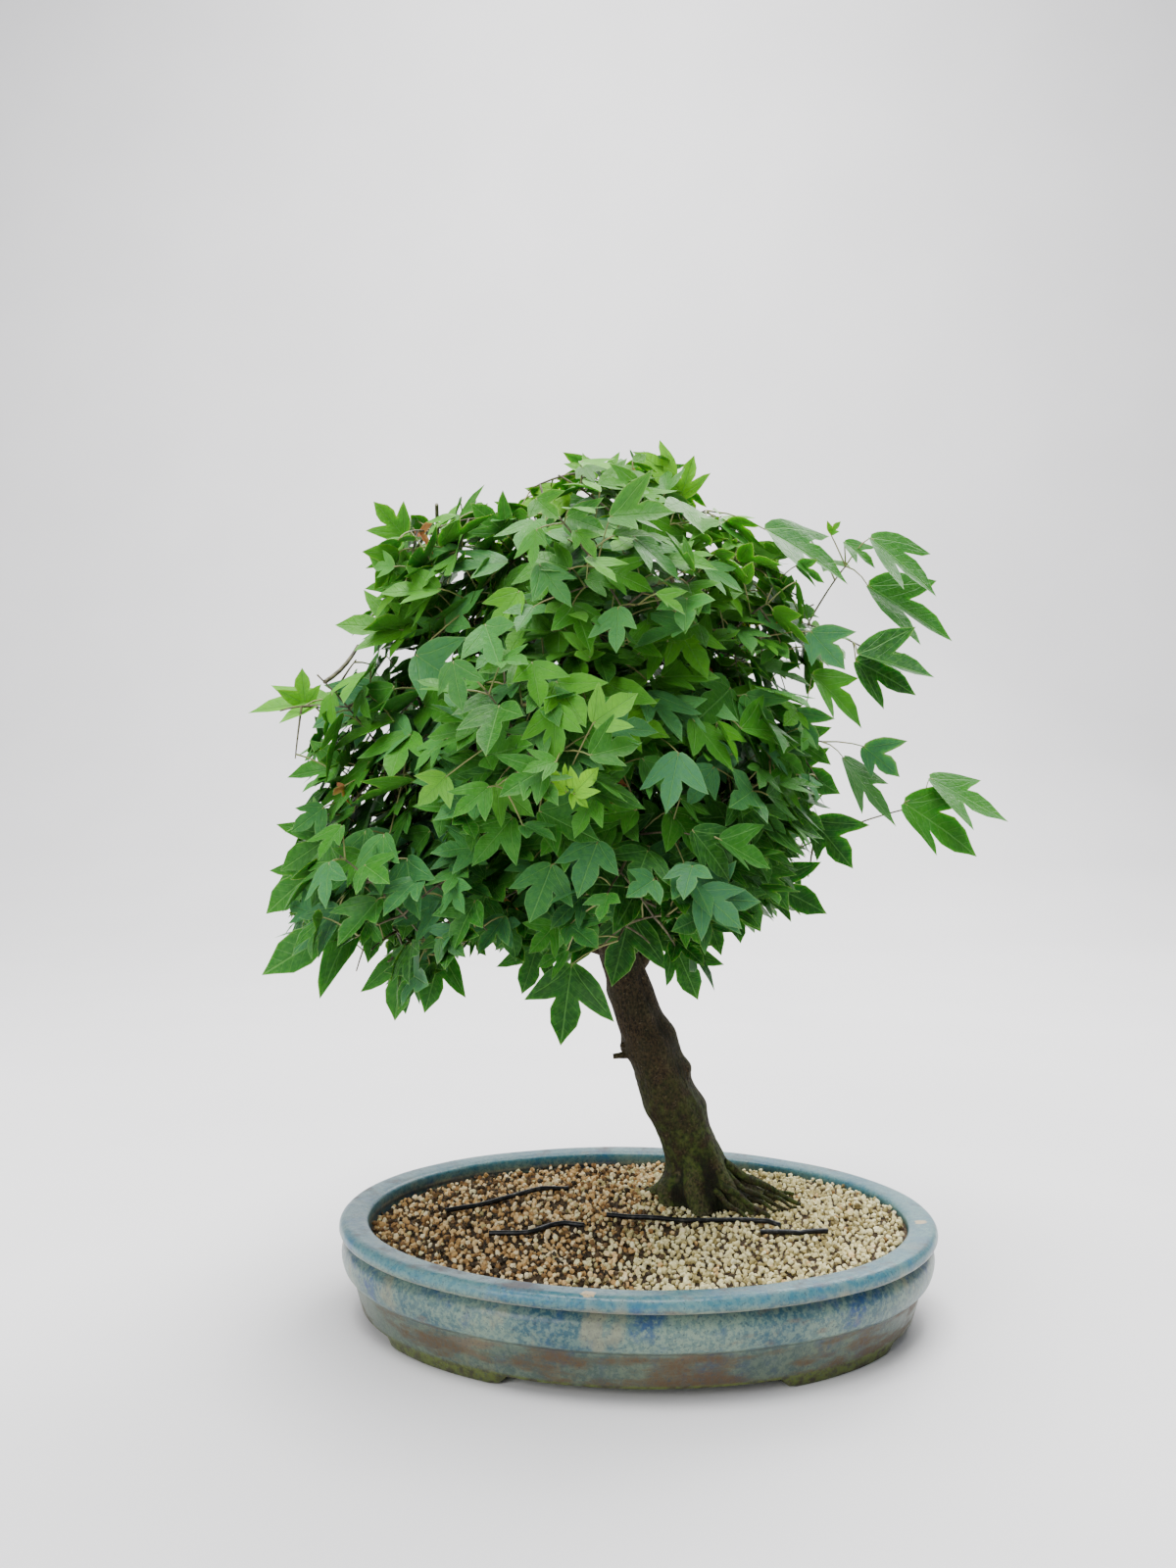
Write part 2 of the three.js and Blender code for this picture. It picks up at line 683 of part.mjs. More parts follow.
// A leaf hangs out from the crown's middle line on its stalk, its face to the light. It is turned a little
// further each time that it does not fit, and skipped when it still does not.
function growLeaf(mass, start, stalkWay, reach, random) {
  const node = centre(start);
  const full = LEAF_LENGTH * mass.leaves * (LEAF_SPREAD[0] + LEAF_SPREAD[1] * random());
  const fullStalk = STALK_LENGTH * (STALK_SPREAD[0] + STALK_SPREAD[1] * random());
  const face = new THREE.Triangle(...start).getNormal(vec(0, 0, 0));
  const out = node.clone().sub(trunkAt(node.z).point).setZ(0).normalize();
  for (let attempt = 0; attempt < LEAF_TRIES; attempt++) {
    const jitter = () => (random() - 0.5) * (0.4 + 0.12 * attempt);
    const length = full * (1 - 0.035 * attempt);
    const sway = vec(jitter(), jitter(), jitter()).multiplyScalar(STALK_SWAY);
    const way = stalkWay.clone().add(sway).normalize();
    const base = node.clone().addScaledVector(way, fullStalk * (1 - 0.05 * attempt));
    const along = out.clone().addScaledVector(way, 0.5).addScaledVector(UP, -mass.droop).normalize();
    along.add(vec(jitter(), jitter(), 0.7 * jitter())).normalize();
    if (along.dot(way) < FOLD_BACK || face.dot(way) < STALK_STANDS) continue;
    const light = UP.clone().multiplyScalar(0.7).addScaledVector(out, 0.8).add(vec(jitter(), jitter(), 0));
    const normal = light.addScaledVector(along, -light.dot(along)).normalize();
    const leaf = { base, along, normal, length };
    if (!leafOwned(mass, leaf, reach)) continue;
    const made = loneLeaf(leaf, start);
    if (touches(made)) continue;
    stand(made);
    return leaf;
  }
  return null;
}

// The leaves of a shoot: a pair at its node and one near its tip, a side further round, and one at the tip.
function growLeaves(mass, { rings, end, way: tipWay }, random) {
  const leaves = [];
  const points = rings.flat();
  const far = depth(mass, end);
  const reach = far > 1 ? far + LONG_REACH : 1;
  const add = (site, numbers, stalkWay) => {
    const leaf = growLeaf(mass, numbers.map((i) => points[i]), stalkWay, reach, random);
    if (leaf) leaves.push({ ...leaf, site });
  };
  [1, 3].forEach((ring, node) => {
    const way = centre(rings[ring + 1]).sub(centre(rings[ring])).normalize();
    for (const further of [0, 1]) {
      const side = ring * TWIG_SIDES + ((node + further) % TWIG_SIDES);
      const next = ring * TWIG_SIDES + ((node + further + 1) % TWIG_SIDES);
      const out = centre([points[side], points[next]]).sub(centre(rings[ring])).normalize();
      const stalkWay = out.addScaledVector(way, 0.5).addScaledVector(UP, 0.15).normalize();
      add(side, [side, next, next + TWIG_SIDES], stalkWay);
    }
  });
  const tip = points.length - TWIG_SIDES;
  add(tip, [tip, tip + 1, tip + 2], tipWay);
  return leaves;
}

function makeCrown() {
  const fatTrunk = trunkSolid(GAP);
  stand(fatTrunk);
  masses.filter((mass) => mass.limbHeight).forEach(growBough);
  for (const { name, bough } of masses) {
    if (!bough) continue;
    const made = limb(bough.path, bough.radii, BOUGH_SIDES).subtract(fatTrunk);
    place(`bough_${name}`, shapeOf(made), BARK);
    stand(limb(bough.path, bough.radii.map((radius) => radius + GAP), BOUGH_SIDES));
  }
  masses.forEach((mass, i) => growWood(mass, seeded(SEED + 2 * i)));
  for (const { shoots } of masses) shoots.forEach(({ rings }) => stand(shootSolid(rings, [])));
  masses.forEach((mass, i) => {
    const random = seeded(SEED + 2 * i + 1);
    const sprays = mass.shoots.map((shoot) => shootSolid(shoot.rings, growLeaves(mass, shoot, random)));
    place(`foliage_${mass.name}`, shapeOf(sprays.reduce((a, b) => a.add(b), mass.stem)), LEAF);
  });
}

const masses = crownMasses();
makePot();
makeGravel();
makeWires();
makeTrunk();
makeCrown();

export default bonsai;
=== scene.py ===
# %% [markdown]
# # A trident maple bonsai in its pot
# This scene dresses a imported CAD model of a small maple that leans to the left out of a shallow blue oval
# pot. The CAD model gives the sizes and places; each step below says what one part of the real thing is
# like, how it could be made in Blender, and why it is made as it is. All lengths in the script are in
# millimetres and become metres where a mesh is written, because the frame is in metres.

# %% Load the frame
import math

import bmesh
import bpy
import numpy as np
from mathutils import Matrix, Vector, noise
from mathutils.bvhtree import BVHTree


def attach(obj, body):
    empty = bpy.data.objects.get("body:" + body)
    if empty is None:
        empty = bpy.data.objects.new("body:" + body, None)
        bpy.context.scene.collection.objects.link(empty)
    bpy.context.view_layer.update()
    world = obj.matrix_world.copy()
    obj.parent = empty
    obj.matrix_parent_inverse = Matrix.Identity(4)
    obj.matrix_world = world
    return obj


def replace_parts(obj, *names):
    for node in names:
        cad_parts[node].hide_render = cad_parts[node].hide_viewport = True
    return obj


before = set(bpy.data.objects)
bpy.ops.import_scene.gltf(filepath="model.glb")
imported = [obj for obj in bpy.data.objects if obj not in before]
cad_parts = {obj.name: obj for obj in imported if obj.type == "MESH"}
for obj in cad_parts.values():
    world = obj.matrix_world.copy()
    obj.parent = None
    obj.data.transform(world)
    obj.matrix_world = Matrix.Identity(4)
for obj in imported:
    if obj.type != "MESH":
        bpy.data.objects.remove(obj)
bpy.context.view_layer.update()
MM = 0.001

# %% [markdown]
# ## Camera
# The picture was taken level with the middle of the tree from a little under a metre away, so the pot is
# seen from above and the crown from the side. The lens and place are set to give that view, with the small
# tilt of the real camera; nothing is shifted or out of focus.

# %% Camera
EYE = (-34.5, -820.8, 334.5)
SENSOR, LENS, ROLL = 36, 29.25, math.radians(-0.58)
camera = bpy.data.objects.new("photo_camera", bpy.data.cameras.new("photo_camera"))
camera.data.sensor_fit = "VERTICAL"
camera.data.sensor_height = SENSOR
camera.data.lens = LENS
camera.location = Vector(EYE) * MM
camera.rotation_euler = (math.radians(90), ROLL, 0)
bpy.context.scene.collection.objects.link(camera)
bpy.context.scene.camera = camera
print("camera", tuple(round(c, 3) for c in camera.location))

# %% [markdown]
# ## Helpers for meshes
# Most pieces are either a skin through rows of points or the result of a Geometry Nodes tree, so there is
# one helper for each. Objects stay at the origin with their place in the mesh, because patterns on Object
# coordinates must not slide.


# %% Mesh helpers
def add_mesh(name, points, faces, edges=()):
    """Make an object from points in millimetres and faces or edges as lists of point numbers."""
    mesh = bpy.data.meshes.new(name)
    mesh.from_pydata((np.asarray(points, float) * MM).tolist(), edges, faces)
    mesh.update()
    mesh.shade_smooth()
    obj = bpy.data.objects.new(name, mesh)
    bpy.context.scene.collection.objects.link(obj)
    return obj


def set_values(obj, kind="FLOAT", domain="POINT", **values):
    """Give a mesh attributes, each with one number or vector for every point, edge or face."""
    for key, numbers in values.items():
        field = "vector" if kind == "FLOAT_VECTOR" else "value"
        obj.data.attributes.new(key, kind, domain).data.foreach_set(field, np.ravel(numbers).tolist())


def grid_faces(rows, columns, wrap=True):
    """Quads between rows of points, each row with the same count; wrap joins a row's two ends."""
    faces = []
    for i in range(rows - 1):
        for j in range(columns if wrap else columns - 1):
            a, b = i * columns + j, i * columns + (j + 1) % columns
            faces.append((a, b, b + columns, a + columns))
    return faces


def capped_faces(rows, columns):
    """The quads of a tube's rows, and one face over each of its ends."""
    last = (rows - 1) * columns
    return grid_faces(rows, columns) + [list(range(columns))[::-1], list(range(last, last + columns))]


def angles_round(count):
    """This many even angles round a circle."""
    return [j / count * 2 * math.pi for j in range(count)]


def smooth_rows(rows, per_span):
    """Points on a Catmull-Rom curve through the rows of a table, per_span of them from one row to the next."""
    table = np.array(rows, float)
    padded = np.vstack([2 * table[0] - table[1], table, 2 * table[-1] - table[-2]])
    out = []
    for a, b, c, d in zip(padded, padded[1:], padded[2:], padded[3:]):
        square, cube = 2 * a - 5 * b + 4 * c - d, 3 * b - a - 3 * c + d
        for t in np.arange(per_span) / per_span:
            out.append(0.5 * (2 * b + (c - a) * t + square * t**2 + cube * t**3))
    return np.array(out + [table[-1]])


def count_faces(obj):
    """Print how many triangles an object has."""
    obj.data.calc_loop_triangles()
    print(f"{obj.name}: {len(obj.data.loop_triangles)} triangles")


# %% [markdown]
# ## Helpers for nodes
# A material or a Geometry Nodes tree is a set of nodes and the links between them. A Recipe holds one tree
# and adds nodes to it. Each input gets either a value or a link from another node's output, so a long recipe
# reads from top to bottom, and the nodes that come back again and again have a short name.


# %% Node helpers
class Recipe:
    """A node tree, with short names for the nodes that are used most."""

    place = None

    def __init__(self, tree):
        self.tree = tree

    def node(self, kind, inputs=None, output=0, **settings):
        """Add a node and return an output; inputs maps a socket's name or number to a value or an output."""
        made = self.tree.nodes.new(kind)
        for key, value in settings.items():
            setattr(made, key, value)
        for socket, value in (inputs or {}).items():
            if isinstance(value, bpy.types.NodeSocket):
                self.tree.links.new(value, made.inputs[socket])
            else:
                made.inputs[socket].default_value = value
        return made.outputs[output]

    def math(self, operation, *values, clamp=False):
        """A calculation with up to three values or outputs."""
        return self.node("ShaderNodeMath", dict(enumerate(values)), operation=operation, use_clamp=clamp)

    def times(self, a, b):
        """a times b."""
        return self.math("MULTIPLY", a, b)

    def scaled(self, value, factor, base, clamp=False):
        """value times factor, plus base."""
        return self.math("MULTIPLY_ADD", value, factor, base, clamp=clamp)

    def step(self, value, low, high):
        """0 below low and 1 above high, with a smooth step between; it falls where low is the larger."""
        inputs = {0: value, 1: low, 2: high, 3: 0.0, 4: 1.0}
        return self.node("ShaderNodeMapRange", inputs, interpolation_type="SMOOTHSTEP")

    def noise(self, scale, detail, place=None):
        """Soft noise at a place; in Geometry Nodes it needs none and follows the position."""
        place = place or self.place
        inputs = {"Scale": scale, "Detail": detail, **({"Vector": place} if place else {})}
        return self.node("ShaderNodeTexNoise", inputs)

    def mix(self, factor, a, b):
        """A mix of two colours or colour outputs."""
        a, b = ((*c, 1) if isinstance(c, tuple) else c for c in (a, b))
        return self.node("ShaderNodeMix", {0: factor, 6: a, 7: b}, 2, data_type="RGBA", clamp_factor=True)

    def tints(self, colour, *layers):
        """Lay tints over a colour, one after the other; each is (mask, its share, tint)."""
        for mask, share, tint in layers:
            colour = self.mix(mask if share == 1 else self.times(mask, share), colour, tint)
        return colour

    def ramp(self, factor, *stops):
        """A Color Ramp's output; stops are (position, colour)."""
        colour = self.node("ShaderNodeValToRGB", {0: factor})
        elements = colour.node.color_ramp.elements
        for position, _ in stops[2:]:
            elements.new(position)
        for element, (position, tint) in zip(elements, stops):
            element.position, element.color = position, (*tint, 1)
        return colour


def new_tree(kind, name, output, **inputs):
    """A node group with one output (name, type) and named inputs (type, default)."""
    tree = bpy.data.node_groups.new(name, kind)
    for socket, (form, default) in inputs.items():
        made = tree.interface.new_socket(socket, in_out="INPUT", socket_type=f"NodeSocket{form}")
        if default is not None:
            made.default_value = default
    tree.interface.new_socket(output[0], in_out="OUTPUT", socket_type=f"NodeSocket{output[1]}")
    return Recipe(tree), tree.nodes.new("NodeGroupInput").outputs, tree.nodes.new("NodeGroupOutput").inputs[0]


# %% [markdown]
# ## A shared effect
# Glaze, bark, moss, leaves and granules are all mottled. Rather than the same chain of nodes in each
# material, one node group is built once: noise, squashed or stretched along Z, whose middle values are
# sharpened into patches. It only puts out a mask, and each material decides what to do with it.

# %% Node group for patches
patch_group, patch_in, patch_out = new_tree(
    "ShaderNodeTree", "Patches", ("Mask", "Float"), Vector=("Vector", None), Scale=("Float", 60.0),
    Detail=("Float", 5.0), Low=("Float", 0.45), High=("Float", 0.6), Squash=("Float", 1.0),
)
squash = patch_group.node("ShaderNodeCombineXYZ", {0: 1.0, 1: 1.0, 2: patch_in["Squash"]})
squashed = patch_group.node("ShaderNodeVectorMath", {0: patch_in["Vector"], 1: squash}, operation="MULTIPLY")
patch_noise = patch_group.node(
    "ShaderNodeTexNoise",
    {"Vector": squashed, "Scale": patch_in["Scale"], "Detail": patch_in["Detail"], "Roughness": 0.6},
)
patch_mask = patch_group.step(patch_noise, patch_in["Low"], patch_in["High"])
patch_group.tree.links.new(patch_mask, patch_out)
print("node groups:", [group.name for group in bpy.data.node_groups])

# %% [markdown]
# ## Materials
# Every material here is one Principled BSDF. Its colour comes from layers of tints and masks, and a height
# made of the same masks or of noise gives the small relief. Numbers that are the same all over a surface,
# such as its roughness or gloss, are set on the shader itself.


# %% Material helpers
class Finish(Recipe):
    """A material with a Principled BSDF, whose patterns lie on Object coordinates."""

    def __init__(self, name, roughness, **settings):
        self.material = bpy.data.materials.new(name)
        self.material.use_nodes = True
        super().__init__(self.material.node_tree)
        self.shader = self.tree.nodes["Principled BSDF"].inputs
        for socket, value in dict(settings, Roughness=roughness).items():
            self.shader[socket.replace("_", " ")].default_value = value
        self.place = self.node("ShaderNodeTexCoord", output="Object")

    def patches(self, scale, low, high, detail=5.0, squash=1.0):
        """The shared patches: low and high are the noise values between which the mask rises, and squash below
        1 stretches it upwards, above 1 flattens it."""
        inputs = dict(Vector=self.place, Scale=scale, Detail=detail, Low=low, High=high, Squash=squash)
        return self.node("ShaderNodeGroup", inputs, node_tree=patch_group.tree)

    def attribute(self, name):
        """The number that a mesh carries under this name."""
        return self.node("ShaderNodeAttribute", output="Fac", attribute_name=name)

    def axis(self, letter, vector=None):
        """One axis of a vector, or of the place."""
        return self.node("ShaderNodeSeparateXYZ", {0: vector or self.place}, letter)

    def away_from(self, spot):
        """The distance to a spot."""
        return self.node("ShaderNodeVectorMath", {0: self.place, 1: spot}, "Value", operation="DISTANCE")

    def lay_on(self, colour, height=None, distance=0, strength=1, roughness=None):
        """Link a colour, a bump of this distance in millimetres and a roughness to the shader."""
        if height:
            inputs = {"Height": height, "Distance": distance * MM, "Strength": strength}
            height = self.node("ShaderNodeBump", inputs)
        for socket, value in (("Base Color", colour), ("Normal", height), ("Roughness", roughness)):
            if value:
                self.tree.links.new(value, self.shader[socket])
        print("made", self.material.name)


def speckled(name, roughness, pattern, dark, light, bump=(), **settings):
    """A material of two colours in patches, with a bump (distance, strength) where they are lighter."""
    look = Finish(name, roughness, **settings)
    mask = look.patches(*pattern)
    look.lay_on(look.mix(mask, dark, light), mask if bump else None, *bump)
    return look.material


# %% [markdown]
# ## Glaze
# The pot's glaze is a mottled blue: pale and dark blues run into each other, with cobalt patches and tan
# runs. A photograph could be wrapped round it, but layered noise is sharper at every distance and has no
# seam. The layers are mixed in the order in which they lie: the blues, cobalt, runs, a duller low part with
# rust on it, dark lines of painted shade in the groove and under the step and a pale glaze break along the
# groove's upper edge, moss on the feet, a brighter lip with worn patches and two chips in it, and dark specks.

# %% Glaze material
BANDS = dict(feet=(9.5, 7.5), low_part=(31.5, 24.5), lip=(53.5, 57.5), rim=(59.4, 60.8))
# A line's row is its two edges in millimetres, its strength and its tint: painted shade in the groove, a pale
# glaze break along the groove's upper edge, and painted shade under the step.
SHADE_AND_BREAK_LINES = [
    (49.5, 53.5, 0.8, (0.035, 0.03, 0.035)),
    (51.5, 54.5, 0.35, (0.3, 0.24, 0.16)),
    (26.5, 31.5, 0.6, (0.06, 0.045, 0.03)),
]
LIP_CHIPS = [(-0.0318, -0.137, 0.0615), (0.178, -0.0184, 0.0615)]
glaze = Finish("blue_glaze", 0.34, Specular_IOR_Level=0.35)
height = glaze.axis("Z")


def level(low, high):
    """A mask that rises from one height to another in millimetres, or falls where low is the larger."""
    return glaze.step(height, low * MM, high * MM)


clouds = glaze.patches(26, 0.36, 0.64, 7, 0.9)
fine = glaze.patches(340, 0.42, 0.58, 6)
amount = glaze.scaled(fine, 0.48, glaze.scaled(clouds, -0.5, 0.48), clamp=True)
cobalt = glaze.times(glaze.patches(44, 0.5, 0.68, 5, 0.8), glaze.patches(300, 0.36, 0.58, 6))
low_part = level(*BANDS["low_part"])
rust = glaze.times(glaze.patches(22, 0.43, 0.57, 9, 3.4), glaze.scaled(low_part, 0.88, 0.03))
rust = glaze.times(rust, glaze.scaled(fine, -0.3, 1.0))
blue = glaze.tints(
    glaze.mix(amount, (0.17, 0.245, 0.185), (0.014, 0.068, 0.1)),
    (cobalt, 0.85, (0.006, 0.045, 0.155)),
    (glaze.patches(60, 0.54, 0.7, 9, 0.5), 0.5, (0.28, 0.25, 0.14)),
    (low_part, 0.56, (0.045, 0.05, 0.015)),
    (rust, 1, (0.08, 0.044, 0.017)),
    (glaze.patches(17, 0.6, 0.68, 8, 3.2), 0.6, (0.13, 0.08, 0.045)),
)
broken = glaze.scaled(glaze.patches(90, 0.3, 0.6, 7), 0.6, 0.4)
# Painted shade along the groove and the step, and a pale glaze break above the groove, broken up by noise.
for low, high, strength, tint in SHADE_AND_BREAK_LINES:
    middle = (low + high) / 2
    line = glaze.times(level(low, middle), level(high, middle))
    blue = glaze.tints(blue, (glaze.times(line, broken), strength, tint))
moss = glaze.mix(glaze.patches(220, 0.35, 0.6), (0.035, 0.03, 0.014), (0.085, 0.11, 0.02))
worn = glaze.times(level(*BANDS["rim"]), glaze.patches(44, 0.5, 0.66, 8))
blue = glaze.tints(
    blue,
    (glaze.times(level(*BANDS["feet"]), glaze.patches(60, 0.2, 0.4)), 1, moss),
    (level(*BANDS["lip"]), 0.45, (0.04, 0.2, 0.27)),
    (worn, 0.8, (0.13, 0.105, 0.105)),
)
for spot in LIP_CHIPS:
    ragged = glaze.scaled(glaze.noise(420, 3), 0.005, glaze.away_from(spot))
    blue = glaze.tints(blue, (glaze.step(ragged, 0.0068, 0.0055), 1, (0.5, 0.38, 0.22)))
blue = glaze.tints(blue, (glaze.patches(700, 0.58, 0.68, 2), 0.55, (0.02, 0.035, 0.055)))
pits = glaze.times(glaze.patches(520, 0.58, 0.68, 2), 0.35)
relief = glaze.math("SUBTRACT", glaze.noise(130, 5), pits)
glaze.lay_on(blue, relief, 0.7, 0.6, roughness=glaze.scaled(glaze.math("MAXIMUM", rust, worn), 0.3, 0.3))

# %% [markdown]
# ## Pot
# The pot is thrown or pressed clay: an oval with a rounded lip, a groove under it, a soft belly, a step and
# four low feet. It could be an oval extruded in Edit Mode; here one profile is swept round the oval, and a
# little unevenness in radius and height makes it look handmade. The holes in its floor are cut with a
# Boolean modifier, as the drill would.

# %% Pot profile
POT_HALF = (190, 145)
POT_STEPS = 240
POT_UNDER, POT_TOP = 7, 61
UNEVEN_WIDE, UNEVEN_HIGH, UNEVEN_SCALE = 0.5, 0.3, 0.013
LIP_PROFILE = [
    (14.4, 7), (12.6, 13), (10.8, 20), (9.6, 25.2), (8.8, 27.6), (5.0, 30.2), (3.0, 34), (1.9, 40), (3.0, 46),
    (6.2, 49.8), (6.6, 51.2), (4.2, 51.9), (1.2, 52.8), (0.1, 55.6), (1.2, 59.2), (4.4, 61), (9.5, 60.8),
    (14.6, 60.4), (17.6, 59), (18.5, 56), (18.5, 45), (18.5, 30), (18.6, 20), (20.4, 16), (23, 14.2),
]


def oval_point(inset, angle, z):
    """A point on the pot's oval, drawn in by inset."""
    return ((POT_HALF[0] - inset) * math.cos(angle), (POT_HALF[1] - inset) * math.sin(angle), z)


def sweep_pot():
    """Points and faces of the pot's body, with its floor and underside closed."""
    profile = smooth_rows(LIP_PROFILE, 3)
    points = []
    for inset, z in profile:
        for angle in angles_round(POT_STEPS):
            where = Vector(oval_point(inset, angle, z)) * UNEVEN_SCALE
            wobble = UNEVEN_WIDE * noise.noise(where) * min(1, (z - POT_UNDER) / 10)
            top = min(z + UNEVEN_HIGH * noise.noise(where * 2), POT_TOP)
            points.append(oval_point(max(inset + wobble, 0), angle, top))
    return points, capped_faces(len(profile), POT_STEPS)


pot_points, pot_faces = sweep_pot()
print("pot body", len(pot_faces), "faces")

# %% Pot feet
FOOT_PROFILE = [(17.6, 0), (32, 0), (33, 1), (33, 8.6), (14.6, 8.6), (15.4, 4), (16.4, 1)]
FOOT_FROM, FOOT_LONG, FOOT_ROWS = 30, 34, 18
FOOT_LIFT, FOOT_END, FOOT_THINNEST = 6, 0.09, 7.6


def foot_mesh(quarter):
    """One foot, which follows the oval through part of its quarter and thins towards its ends."""
    mirrored = quarter % 2 == 1
    axis = math.pi if quarter in (1, 2) else 0
    points = []
    for i in range(FOOT_ROWS + 1):
        share = 1 - i / FOOT_ROWS if mirrored else i / FOOT_ROWS
        angle = axis + (-1 if mirrored else 1) * math.radians(FOOT_FROM + FOOT_LONG * share)
        lift = FOOT_LIFT * max(0, 1 - min(share, 1 - share) / FOOT_END) ** 2
        points += [oval_point(inset, angle, max(z, min(z + lift, FOOT_THINNEST))) for inset, z in FOOT_PROFILE]
    return points, capped_faces(FOOT_ROWS + 1, len(FOOT_PROFILE))


for quarter in range(4):
    more, foot_faces = foot_mesh(quarter)
    first = len(pot_points)
    pot_points += more
    pot_faces += [[first + i for i in face] for face in foot_faces]
glazed_pot = add_mesh("glazed_pot", pot_points, pot_faces)
print("pot with feet", len(pot_faces), "faces")

# %% Holes in the pot's floor
HOLE_RADIUS, HOLE_ASIDE, DRILL_LONG, DRILL_MIDDLE = 9, 85, 40, 10
SHARP = math.radians(50)
cutters = []
for side in (-1, 1):
    bpy.ops.mesh.primitive_cylinder_add(
        vertices=40,
        radius=HOLE_RADIUS * MM,
        depth=DRILL_LONG * MM,
        location=(side * HOLE_ASIDE * MM, 0, DRILL_MIDDLE * MM),
    )
    cutters.append(bpy.context.object)
    hole = glazed_pot.modifiers.new("drain", "BOOLEAN")
    hole.operation = "DIFFERENCE"
    hole.object = cutters[-1]


def bake_modifiers(obj):
    """Replace an object's mesh by what its modifiers make of it, and take the modifiers away."""
    depsgraph = bpy.context.evaluated_depsgraph_get()
    evaluated = obj.evaluated_get(depsgraph)
    mesh = bpy.data.meshes.new_from_object(evaluated, preserve_all_data_layers=True, depsgraph=depsgraph)
    obj.modifiers.clear()
    obj.data = mesh
    mesh.name = obj.name


bake_modifiers(glazed_pot)
for cutter in cutters:
    bpy.data.objects.remove(cutter)
glazed_pot.data.set_sharp_from_angle(angle=SHARP)
glazed_pot.data.materials.append(glaze.material)
count_faces(glazed_pot)
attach(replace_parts(glazed_pot, "pot"), "root")

# %% [markdown]
# ## The shape of the tree
# The wood follows the same rule as the CAD model, so the finer tree grows on from the same limbs: a trunk
# through a table of sections, boughs to the masses of the crown, and shoots that end at even directions
# round each mass. The numbers below are those of the model. A plain formula gives the random numbers, so
# the same seed gives the same tree here and there.

# %% Sizes of the tree
# The trunk's rows are its height, the x and y of its middle, and its radius. A root's are its direction and
# width in degrees, how far it stands out, and the height over which it fades.
GROUND = 60
TRUNK_LINE = [
    (60, 47, 28, 21.5), (66, 45, 28, 20.5), (76, 42, 27.5, 19.5), (90, 38.5, 27, 19), (108, 31, 26, 18.6),
    (120, 26.5, 25.5, 19.6), (134, 20, 25, 19), (152, 13, 24.5, 17.8), (165, 8, 24, 18.2), (182, 0, 24, 16),
    (205, -7, 24, 14.4), (235, -17, 23, 13), (270, -27, 22, 11.6), (310, -36, 20, 10.2), (345, -37, 18, 8.8),
    (385, -33, 17, 7.2), (425, -29, 17, 5.6), (462, -26, 18, 3.6),
]
ROOTS = [
    (4, 17, 33, 10), (-48, 15, 22, 9.4), (-100, 17, 17, 12), (-150, 15, 13, 8.3), (158, 17, 22, 10.5),
    (95, 22, 14, 10), (48, 18, 12, 8.3),
]
TIERS = {
    "low": dict(
        sides=("right", "back", "left", "front_left", "front_right"), first=14, middle=(-57, 0, 265),
        ring=(114, 88), half=(82, 76, 66), tilt=0.1, limb=(205, 9), leaves=1.06, droop=1.35,
    ),
    "mid": dict(
        sides=("right", "back_right", "back_left", "left", "front"), first=-22, middle=(-50, 2, 350),
        ring=(108, 88), half=(86, 80, 82), tilt=-0.05, limb=(292, 9), leaves=1.0, droop=1.1,
    ),
    "high": dict(
        sides=("right", "back", "left", "front"), first=8, middle=(-30, 4, 447),
        ring=(86, 80), half=(75, 77, 70), tilt=-0.1, limb=(382, 8), leaves=0.94, droop=0.7,
    ),
}
APEX = dict(middle=(-20, 6, 505), half=(96, 84, 50), leaves=0.86, droop=0.35)
LONG_SHOOTS = [
    (193, 46, 322), (134, 20, 480), (142, -18, 420), (-226, -30, 378), (-212, -24, 268), (-138, -10, 494),
]
SEED = 38
UP = np.array([0.0, 0.0, 1.0])
GOLDEN = math.pi * (3 - math.sqrt(5))
print("trunk sections:", len(TRUNK_LINE), "roots:", len(ROOTS), "tiers:", ", ".join(TIERS))


# %% Formulas of the rule
def seeded(seed):
    """Numbers from 0 to 1, the same ones for the same seed."""
    state = seed
    while True:
        state = (state * 1664525 + 1013904223) % 2**32
        yield state / 2**32


def unit(v):
    """A vector's direction."""
    return v / np.linalg.norm(v)


def even_way(i, count, phase):
    """One of count directions that are spread evenly over a sphere."""
    z = 1 - (2 * i + 1) / count
    ring = math.sqrt(1 - z * z)
    angle = phase + i * GOLDEN
    return np.array([ring * math.cos(angle), ring * math.sin(angle), z])


def section(table, z):
    """The trunk's middle and radius at a height, from the rows of a table."""
    x, y, radius = (np.interp(z, table[:, 0], column) for column in table.T[1:])
    return np.array([x, y, z]), radius


def trunk_at(z):
    """The middle and radius of the CAD model's trunk at a height."""
    table = np.array(TRUNK_LINE, float)
    return section(table, min(max(z, table[0, 0]), table[-1, 0]))


# %% Spaces of the masses
def crown_masses():
    """The masses of the crown, as the CAD model has them: an ellipsoid each, in tiers, and one at the top."""
    made = []
    for tier, row in TIERS.items():
        x, y, z = row["middle"]
        for i, side in enumerate(row["sides"]):
            angle = math.radians(row["first"] + i * 360 / len(row["sides"]))
            aside = row["ring"][0] * math.cos(angle)
            middle = (x + aside, y + row["ring"][1] * math.sin(angle), z + row["tilt"] * aside)
            limb = row["limb"][0] + i * row["limb"][1]
            made.append(dict(row, name=f"{tier}_{side}", middle=middle, limb=limb))
    made.append(dict(APEX, name="apex", foot=trunk_at(TRUNK_LINE[-1][0])[0], way=UP))
    for mass in made:
        mass.update(middle=np.array(mass["middle"], float), half=np.array(mass["half"], float), long=[])
    return made


masses = crown_masses()
MIDDLES = np.array([mass["middle"] for mass in masses])
HALVES = np.array([mass["half"] for mass in masses])


def depths(p):
    """How deep a point is in every mass: 0 at the middle and 1 at the edge of the space."""
    return np.linalg.norm((p - MIDDLES) / HALVES, axis=1)


